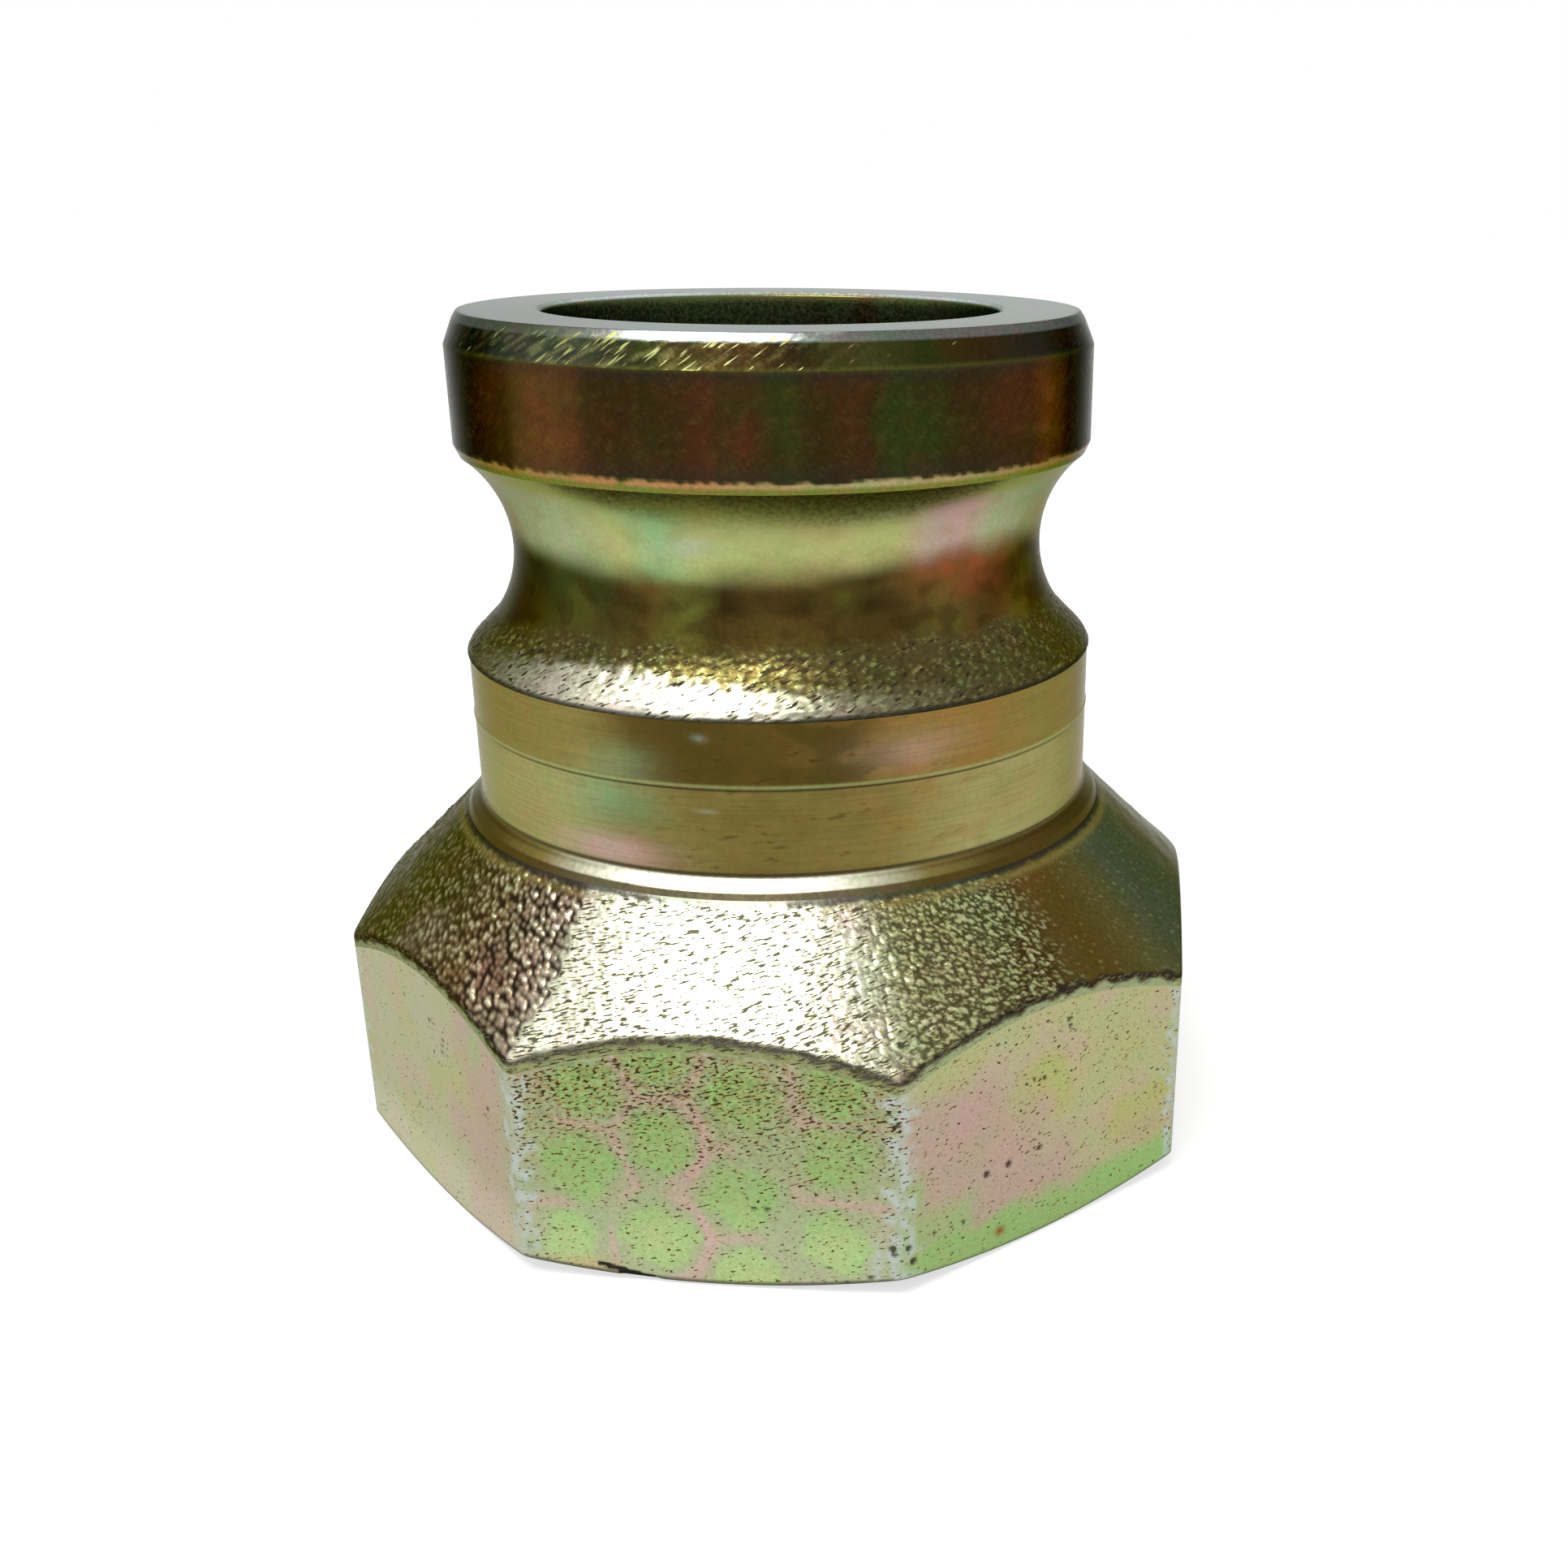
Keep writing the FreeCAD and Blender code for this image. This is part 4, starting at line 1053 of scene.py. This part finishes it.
class REDUCER_OT_wrench_flats(bpy.types.Operator):
    """Makes the eight wrench flats and the chamfered base, with their pits, drying marks and worn corners."""

    bl_idname = "reducer.wrench_flats"
    bl_label = "Wrench flats"

    def execute(self, context):
        f = form(context)
        c = context.scene.reducer_film
        angle = columns(FORGED_COLUMNS, FORGED_CROWD)
        ring, g = self.rows(f, angle)
        z = ring.z
        number, g.side = nearest_flat(angle)
        g.across = f.apothem * np.tan(np.radians(g.side))
        g.wall = g.wall * ease(crest_join(f, angle) - z, 0.0, 0.4) * ease(z - g.base_z, 0.0, 0.25)
        g.front, g.left, g.right = [(number == k) * 1.0 for k in (0, 7, 1)]
        g.high = ease(z, 6.0, 23.0)
        self.pits(ring, g)
        g.grit = ring.noise((0.8, 0.45), 53, lean=0.2)
        self.chip(ring, g)
        ring.emboss(-0.10 * g.pit - g.wall * (0.012 + g.front * 0.06 * g.high) * g.grit - 0.1 * g.chip)
        ring.points[..., 2] = np.maximum(ring.points[..., 2], 0.0)
        ring.points[..., :2] = np.clip(ring.points[..., :2], -f.apothem, f.apothem)
        film = self.plain_flats(c, ring, g)
        film.wash(self.drying_marks(c, ring, g).colour, g.front)
        worn = self.wear(c, ring, film, g)
        # The chip is painted in the pit colour: bare metal and painted shade in its recess.
        depth = np.clip(0.85 * g.pit + 0.95 * ease(g.chip, 0.05, 0.2), 0, 1)
        fringe = ease(z - crest_height(f, angle), -2.4, -0.4)
        speckle = g.wall * (0.58 + g.front * (0.12 + 0.3 * g.high) + 0.08 * g.right
                            + 0.08 * ease(g.cluster, 0.6, 0.8) + 0.12 * fringe + 0.05 * g.rim)
        finish = chromated_steel(
            "forged_flat_chromated_steel", c, roughness=0.36, edge="#e0e0d8", mottle=0.25, speck=0.12,
            grain=0.28, grain_depth=0.008, stroke=(0.54, 0.54, 0.22),
        )
        add_ring("wrench_flats", ring, finish, film, worn, depth, speckle)
        return {"FINISHED"}

    def rows(self, f, angle):
        """The ring, and masks of its rows on the flats, on the base chamfer and outside.

        Straight rows run down each flat from the crest to where the base's cone meets it, down the chamfer
        and back up at the radius that the threaded socket shares.
        """
        out_r, join = octagon(f, angle), crest_join(f, angle)
        base_z = (out_r - f.base_r) * math.tan(f.base_angle)
        share, fall = np.linspace(0, 1, 98)[:, None], np.linspace(0, 1, 5)[1:, None]
        wide = np.ones_like(angle)
        r = np.concatenate([out_r + 0 * share, between(out_r, f.base_r, fall), f.skin_radius * wide,
                            f.skin_radius * wide])
        z = np.concatenate([between(join, base_z, share), base_z * (1 - fall), 0 * wide,
                            f.stop_height * wide])
        wall_rows, seen_rows = len(share), len(share) + len(fall)
        crisp = np.zeros(len(r), bool)
        crisp[[0, wall_rows - 1, seen_rows - 1, seen_rows, seen_rows + 1]] = True
        row = np.arange(len(r))[:, None]
        masks = SimpleNamespace(base_z=base_z, wall=row < wall_rows, seen=row < seen_rows,
                                chamfer=(row >= wall_rows - 1) * (row < seen_rows) * 1.0)
        return Ring(r, z, crisp, angle, FLAT_GIRTH), masks

    def pits(self, ring, g):
        """Pits where a bead's number is below the share that is pitted, and the largest ones listed one by
        one.

        The number's later digits, brought up by a factor, give the pit's size.
        """
        later_digits = 37.0
        _, near_pit, mark = ring.beads((1.5, 0.8), 51, lean=0.12)
        g.cluster = ring.noise((6.0, 4.0), 59)
        share_pitted = 0.008 + g.front * (0.015 + 0.03 * g.high) + 0.02 * ease(g.cluster, 0.6, 0.8)
        reach = 0.13 + 0.2 * np.modf(mark * later_digits)[0]
        g.pit = (mark < share_pitted) * (1 - ease(near_pit, reach * 0.6, reach)) * g.wall
        for place, size, flat in (
            ((-7.65, 9.2), 0.5, g.right), ((-4.9, 9.3), 0.5, g.right), ((16.9, 5.2), 0.5, g.front),
            ((-16.9, 5.0), 0.45, g.right), ((-16.4, 3.4), 0.5, g.right), ((-13.9, 5.4), 0.3, g.right),
            ((-10.4, 5.2), 0.3, g.right), ((-1.9, 17.3), 0.3, g.right), ((-0.6, 17.0), 0.3, g.right),
            ((0.8, 17.2), 0.25, g.right), ((-2.9, 17.1), 0.25, g.right),
        ):
            away = np.hypot(g.across - place[0], ring.z - place[1])
            g.pit = np.maximum(g.pit, flat * g.wall * (1 - ease(away, size * 0.5, size)))

    def chip(self, ring, g):
        """The chip in the front flat's lower edge: a slanting top, a step to the left and a broken floor."""
        left_end, right_end, middle, step_end = -10.9, -4.4, -11, -8.2
        top = 2.15 - 0.25 * (g.across - middle)
        chip = g.front * ease(g.across, left_end, left_end + 0.6) * ease(right_end - g.across, 0, 0.9)
        chip = chip * ease(top - ring.z, 0.0, 0.25)
        chip = chip * (1 - ease(step_end - g.across, 0, 0.8) * ease(top - 0.45 - ring.z, 0, 0.2))
        g.chip = chip * (0.6 + 0.8 * ring.noise((1.4, 0.8), 54)) * g.seen

    def plain_flats(self, c, ring, g):
        """Khaki film that turns yellow, pink and green in slow clouds, each flat in its own way."""
        z, across = ring.z, g.across
        other = 1 - g.front - g.left - g.right
        g.cloud = ring.noise((7.5, 6.0), 55, lean=0.3)
        g.drift = ring.noise((4.0, 4.5), 56, lean=-0.4)
        cloud, drift = g.cloud, g.drift
        film = Film(ring.shape, c.khaki)
        yellow = g.right * ease(across + 0.6 * (z - 12), -8, 6)
        film.wash(c.sulphur, 0.6 * ease(cloud, 0.4, 0.75) + 0.5 * yellow)
        film.wash(c.salmon, 0.35 * ease(drift, 0.5, 0.8))
        film.wash(c.rose, other * 0.8 * ease(drift + 0.35 * cloud, 0.62, 0.9))
        film.wash(c.leaf, other * 0.45 * ease(0.5 - drift + 0.3 * cloud, 0.25, 0.6))
        film.wash(c.rose, g.left * 0.7 * ease(across + 0.12 * (12 - z) + 6 * (drift - 0.5), 3.0, 11.0))
        film.wash(c.leaf, g.left * 0.6 * patch(across, z, (11.2, 21.0), (1.3, 1.8)))
        film.wash(c.sage, g.left * 0.6 * ease(across, 14.0, 16.6))
        blush = ease(5.0 - across - 0.75 * (z - 12) + 6 * (drift - 0.5), 0, 9) * ease(21.5 - z, 0, 4)
        film.wash(c.rose, g.right * 0.8 * blush)
        film.wash(c.rose, g.right * 0.5 * patch(across, z, (13, 6.5), (4, 2)))
        low = ease(5.6 + 2.5 * (drift - 0.5) - z, 0, 2.4)
        low = np.maximum(low, 0.7 * ease(-8.5 - across + 3 * drift, 0, 3) * ease(9.5 - z, 0, 3))
        film.wash(c.leaf, g.right * 0.9 * low)
        film.wash(c.silver, g.left * 0.25 * ease(9 - z, 0, 6))
        film.wash(c.leaf, g.right * 0.7 * patch(across, z, (-16.3, 10.0), (1.4, 2.6)))
        return film

    def drying_marks(self, c, ring, g):
        """Round green marks where drops dried on the front flat, with a salmon net where two rims come close.

        blotch is the distance past the nearest mark's rim, and beyond the distance past the next one's.
        """
        z, across, cloud, drift = ring.z, g.across, g.cloud, g.drift
        far = 99.0
        blotch, beyond = np.full(ring.shape, far), np.full(ring.shape, far)
        waver = 1.5 * (ring.noise((2.4, 2.0), 57) - 0.5)
        for place, size in (
            ((-10.7, 20.2), 3.0), ((-4.3, 23.4), 2.6), ((-4.0, 14.9), 3.1), ((3.6, 19.9), 3.4),
            ((2.9, 9.8), 3.4), ((12.1, 14.2), 3.3), ((-4.6, 4.9), 3.5), ((11.7, 5.3), 3.2), ((3.6, 1.2), 3.2),
            ((-12.0, 12.0), 3.6), ((-13.0, 4.6), 2.8), ((12.0, 21.0), 2.8),
        ):
            past = np.hypot(across - place[0], z - place[1]) - size + waver
            beyond = np.minimum(beyond, np.maximum(past, blotch))
            blotch = np.minimum(blotch, past)
        marks = Film(ring.shape, c.sage)
        thread = bell(beyond - blotch, 0.3 + 1.1 * drift) * ease(blotch, -0.1, 0.7)
        net = thread * ease(0.6 * drift + 0.6 * cloud + 0.25 * bell(across + 4, 7), 0.5, 0.78)
        marks.wash(c.salmon, 0.8 * net)
        marks.wash(c.salmon, 0.4 * ease(blotch, 0.5, 2.0) * ease(drift, 0.4, 0.7))
        marks.wash(c.leaf, ease(0.5 - blotch, 0.0, 1.3) * (0.6 + 0.4 * cloud))
        marks.wash(c.sulphur, 0.45 * ease(-0.8 - blotch, 0.0, 2.2) * ease(12 - z, 0, 6))
        for place, size, half in (((-4.4, 15.2), 4.3, 0.42), ((-4.6, 4.9), 4.5, 0.42)):
            arc = bell(np.hypot(across - place[0], z - place[1]) - size, half)
            marks.wash(c.salmon, arc * ease(across - place[0], -0.5, 2.0))
        marks.wash(c.sage, 0.3 * ease(drift, 0.4, 0.8))
        for place, size, deep in (
            ((-12.0, 16.2), (2.4, 0.8), 0.15), ((-12.0, 1.6), (3.0, 1.1), 0.8), ((4.5, 1.4), (2.4, 1.2), 0.4),
        ):
            marks.wash(c.ochre_light, deep * patch(across, z, place, size))
        marks.wash(c.spring, 0.4 * ease(0.5 - blotch, 0.0, 1.3) * ease(11 - z, 0, 7))
        marks.wash(c.silver, 0.12 * ease(11 - z, 0, 8))
        # Painted highlight of ochre on the grit's tops and painted shade of forest green in its hollows, high
        # on the front flat.
        marks.wash(c.ochre, 0.5 * g.high * ease(g.grit, 0.48, 0.7))
        marks.wash(c.forest, 0.4 * g.high * ease(0.46 - g.grit, 0.0, 0.2))
        return marks

    def wear(self, c, ring, film, g):
        """Pale scuffed corners, painted shade along the base and on its chamfer, and one rust spot. Gives the
        mask of bare zinc.
        """
        z = ring.z
        scuff = ring.noise((0.9, 1.3), 58)
        g.rim = ease(np.abs(g.side) + 3.0 * (scuff - 0.5), 20.2, 22.2)
        rubbed = g.front * g.wall * patch(g.across, z, (15.4, 3.4), (0.55, 2.4)) * ease(g.grit, 0.3, 0.6)
        film.wash(c.frost, 0.45 * g.rim * g.wall)
        # Painted shade: blue-black on the base chamfer and in a line along the base.
        footing = g.wall * ease(g.base_z + 0.3 + 0.15 * g.front - z, 0, 0.25)
        film.wash(c.blue_black_and_shade, 0.85 * g.chamfer + 0.7 * footing)
        film.wash(c.rust, g.right * patch(g.across, z, (-5.9, 2.3), (0.6, 0.5)))
        return np.maximum(g.wall * g.rim * (0.15 + 0.65 * ease(scuff, 0.45, 0.75)), rubbed)


class REDUCER_OT_threaded_socket(bpy.types.Operator):
    """Cuts the internal pipe thread, its countersunk mouth and the tool relief above it."""

    bl_idname = "reducer.threaded_socket"
    bl_label = "Threaded socket"

    def execute(self, context):
        f = form(context)
        c = context.scene.reducer_film
        angle = columns(320)
        depth = THREAD_DEPTH * f.thread_pitch
        r, z = self.rows(f, angle, depth)
        crisp = np.zeros(len(r), bool)
        crisp[[0, 1, 2, len(r) - 1]] = True
        ring = Ring(r, z, crisp, angle, f.thread_root)
        film = Film(ring.shape, ring.around({-120: c.straw, -40: c.lime, 30: c.gold, 110: c.salmon}))
        film.wash(c.olive, 0.5 * ease(f.thread_root - r, 0.2, depth))
        film.wash(c.bronze, 0.5 * ease(z, f.thread_length, f.thread_length + 1))
        finish = chromated_steel("threaded_chromated_steel", c, roughness=0.32, edge="#8a8a7c", mottle=0.4,
                                 speck=0.12, grain=0.35, grain_depth=0.006)
        add_ring("threaded_socket", ring, finish, film)
        return {"FINISHED"}

    def rows(self, f, angle, depth):
        """Radii and heights of the rows, down the shared outer radius and up the thread.

        The thread is a cosine of the climb in pitches less the turns, half its depth high. The mouth and the
        run-out are cones, and the bore is the widest of the three.
        """
        climb = np.linspace(0, f.stop_height, 140)[:, None]
        phase = 2 * math.pi * (climb / f.thread_pitch - angle / FULL_TURN)
        cut = f.thread_root - depth / 2 + depth / 2 * np.cos(phase)
        mouth = f.mouth_radius - climb
        runout = np.minimum(f.thread_root - depth + (climb - f.thread_length), f.relief_radius)
        bore = np.maximum(np.maximum(cut, mouth), runout)
        wide = np.ones_like(angle)
        r = np.concatenate([f.skin_radius * wide, f.skin_radius * wide, bore])
        return r, np.concatenate([f.stop_height * wide, 0 * wide, climb * wide])


class REDUCER_OT_stage(bpy.types.Operator):
    """Lays the paper, hangs the soft box and sets up the camera."""

    bl_idname = "reducer.stage"
    bl_label = "Stage and camera"

    def execute(self, context):
        s = context.scene.reducer_studio
        scene = context.scene
        half = s.paper_size / 2
        mesh = bpy.data.meshes.new("paper_floor")
        corners = [(-half, -half, 0), (half, -half, 0), (half, half, 0), (-half, half, 0)]
        mesh.from_pydata(corners, [], [(0, 1, 2, 3)])
        floor = bpy.data.objects.new("paper_floor", mesh)
        scene.collection.objects.link(floor)
        mesh.materials.append(self.paper(s))
        self.room(scene)
        self.soft_box(scene, s)
        self.camera(scene, s)
        scene.view_settings.view_transform = "Standard"
        return {"FINISHED"}

    def pictured(self, tree):
        """1 for rays that make the picture of the background: seen directly, in metal or through glass."""
        path = add_node(tree, "ShaderNodeLightPath").outputs
        mirrored = add_node(tree, "ShaderNodeMath", {0: path["Is Camera Ray"], 1: path["Is Glossy Ray"]},
                            operation="MAXIMUM").outputs[0]
        return add_node(tree, "ShaderNodeMath", {0: mirrored, 1: path["Is Transmission Ray"]},
                        operation="MAXIMUM").outputs[0]

    def paper(self, s):
        """Matt white paper, which keeps the shadow and has a little light of its own in the picture."""
        material = bpy.data.materials.new("matt_paper")
        material.use_nodes = True
        tree = material.node_tree
        tree.nodes.clear()
        matt = add_node(tree, "ShaderNodeBsdfDiffuse", {"Color": (*s.paper, 1)})
        lift = add_node(tree, "ShaderNodeMath", {0: self.pictured(tree), 1: s.paper_lift},
                        operation="MULTIPLY")
        glow = add_node(tree, "ShaderNodeEmission", {"Strength": lift.outputs[0]})
        both = add_node(tree, "ShaderNodeAddShader", {0: matt.outputs[0], 1: glow.outputs[0]})
        add_node(tree, "ShaderNodeOutputMaterial", {"Surface": both.outputs[0]})
        return material

    def room(self, scene):
        """A plain white room all round."""
        world = bpy.data.worlds.new("white_room")
        scene.world = world
        world.use_nodes = True
        tree = world.node_tree
        tree.nodes.clear()
        white = add_node(tree, "ShaderNodeBackground", {"Color": (1, 1, 1, 1), "Strength": 1.0})
        add_node(tree, "ShaderNodeOutputWorld", {"Surface": white.outputs[0]})

    def soft_box(self, scene, s):
        """One soft box whose power is its face's brightness times pi times its area."""
        lamp = bpy.data.lights.new("soft_box", "AREA")
        lamp.shape = "RECTANGLE"
        lamp.size, lamp.size_y = s.lamp_width, s.lamp_depth
        lamp.energy = s.lamp_radiance * math.pi * s.lamp_width * s.lamp_depth
        away = Vector((math.sin(s.lamp_azimuth) * math.cos(s.lamp_elevation),
                       -math.cos(s.lamp_azimuth) * math.cos(s.lamp_elevation), math.sin(s.lamp_elevation)))
        light = bpy.data.objects.new("soft_box", lamp)
        light.location = Vector((0, 0, BOX_HIGH.z / 2)) + away * s.lamp_distance
        light.rotation_euler = away.to_track_quat("Z", "Y").to_euler()
        scene.collection.objects.link(light)

    def camera(self, scene, s):
        """The camera at the photograph's viewing angle: heading, then tilt, then roll about its own view."""
        lens = bpy.data.cameras.new("camera")
        lens.sensor_width, lens.lens = 36.0, s.lens
        lens.shift_x, lens.shift_y = s.shift
        view = bpy.data.objects.new("camera", lens)
        turn = Matrix.Rotation(s.heading, 4, "Z") @ Matrix.Rotation(math.pi / 2 - s.tilt, 4, "X")
        view.matrix_world = Matrix.Translation(s.eye) @ turn @ Matrix.Rotation(s.roll, 4, "Z")
        scene.collection.objects.link(view)
        scene.camera = view


PIECES = (REDUCER_OT_spigot_head, REDUCER_OT_cam_groove, REDUCER_OT_turned_collar, REDUCER_OT_forged_dome,
          REDUCER_OT_wrench_flats, REDUCER_OT_threaded_socket, REDUCER_OT_stage)


class REDUCER_PT_panel(bpy.types.Panel):
    """Lists the fitting's surfaces and its stage in the sidebar."""

    bl_label = "Reducer"
    bl_space_type = "VIEW_3D"
    bl_region_type = "UI"
    bl_category = "Reducer"

    def draw(self, context):
        for piece in PIECES:
            self.layout.operator(piece.bl_idname)


GROUPS = {"reducer_sizes": ReducerSizes, "reducer_film": FilmColours, "reducer_studio": StudioSettings}


def register():
    for group in GROUPS.values():
        bpy.utils.register_class(group)
    for name, group in GROUPS.items():
        setattr(bpy.types.Scene, name, PointerProperty(type=group))
    for each in (*PIECES, REDUCER_PT_panel):
        bpy.utils.register_class(each)


def unregister():
    for each in (REDUCER_PT_panel, *reversed(PIECES)):
        bpy.utils.unregister_class(each)
    for name, group in GROUPS.items():
        delattr(bpy.types.Scene, name)
        bpy.utils.unregister_class(group)


def main():
    register()
    bpy.ops.reducer.spigot_head()
    bpy.ops.reducer.cam_groove()
    bpy.ops.reducer.turned_collar()
    bpy.ops.reducer.forged_dome()
    bpy.ops.reducer.wrench_flats()
    bpy.ops.reducer.threaded_socket()
    bpy.ops.reducer.stage()


if __name__ == "__main__":
    main()
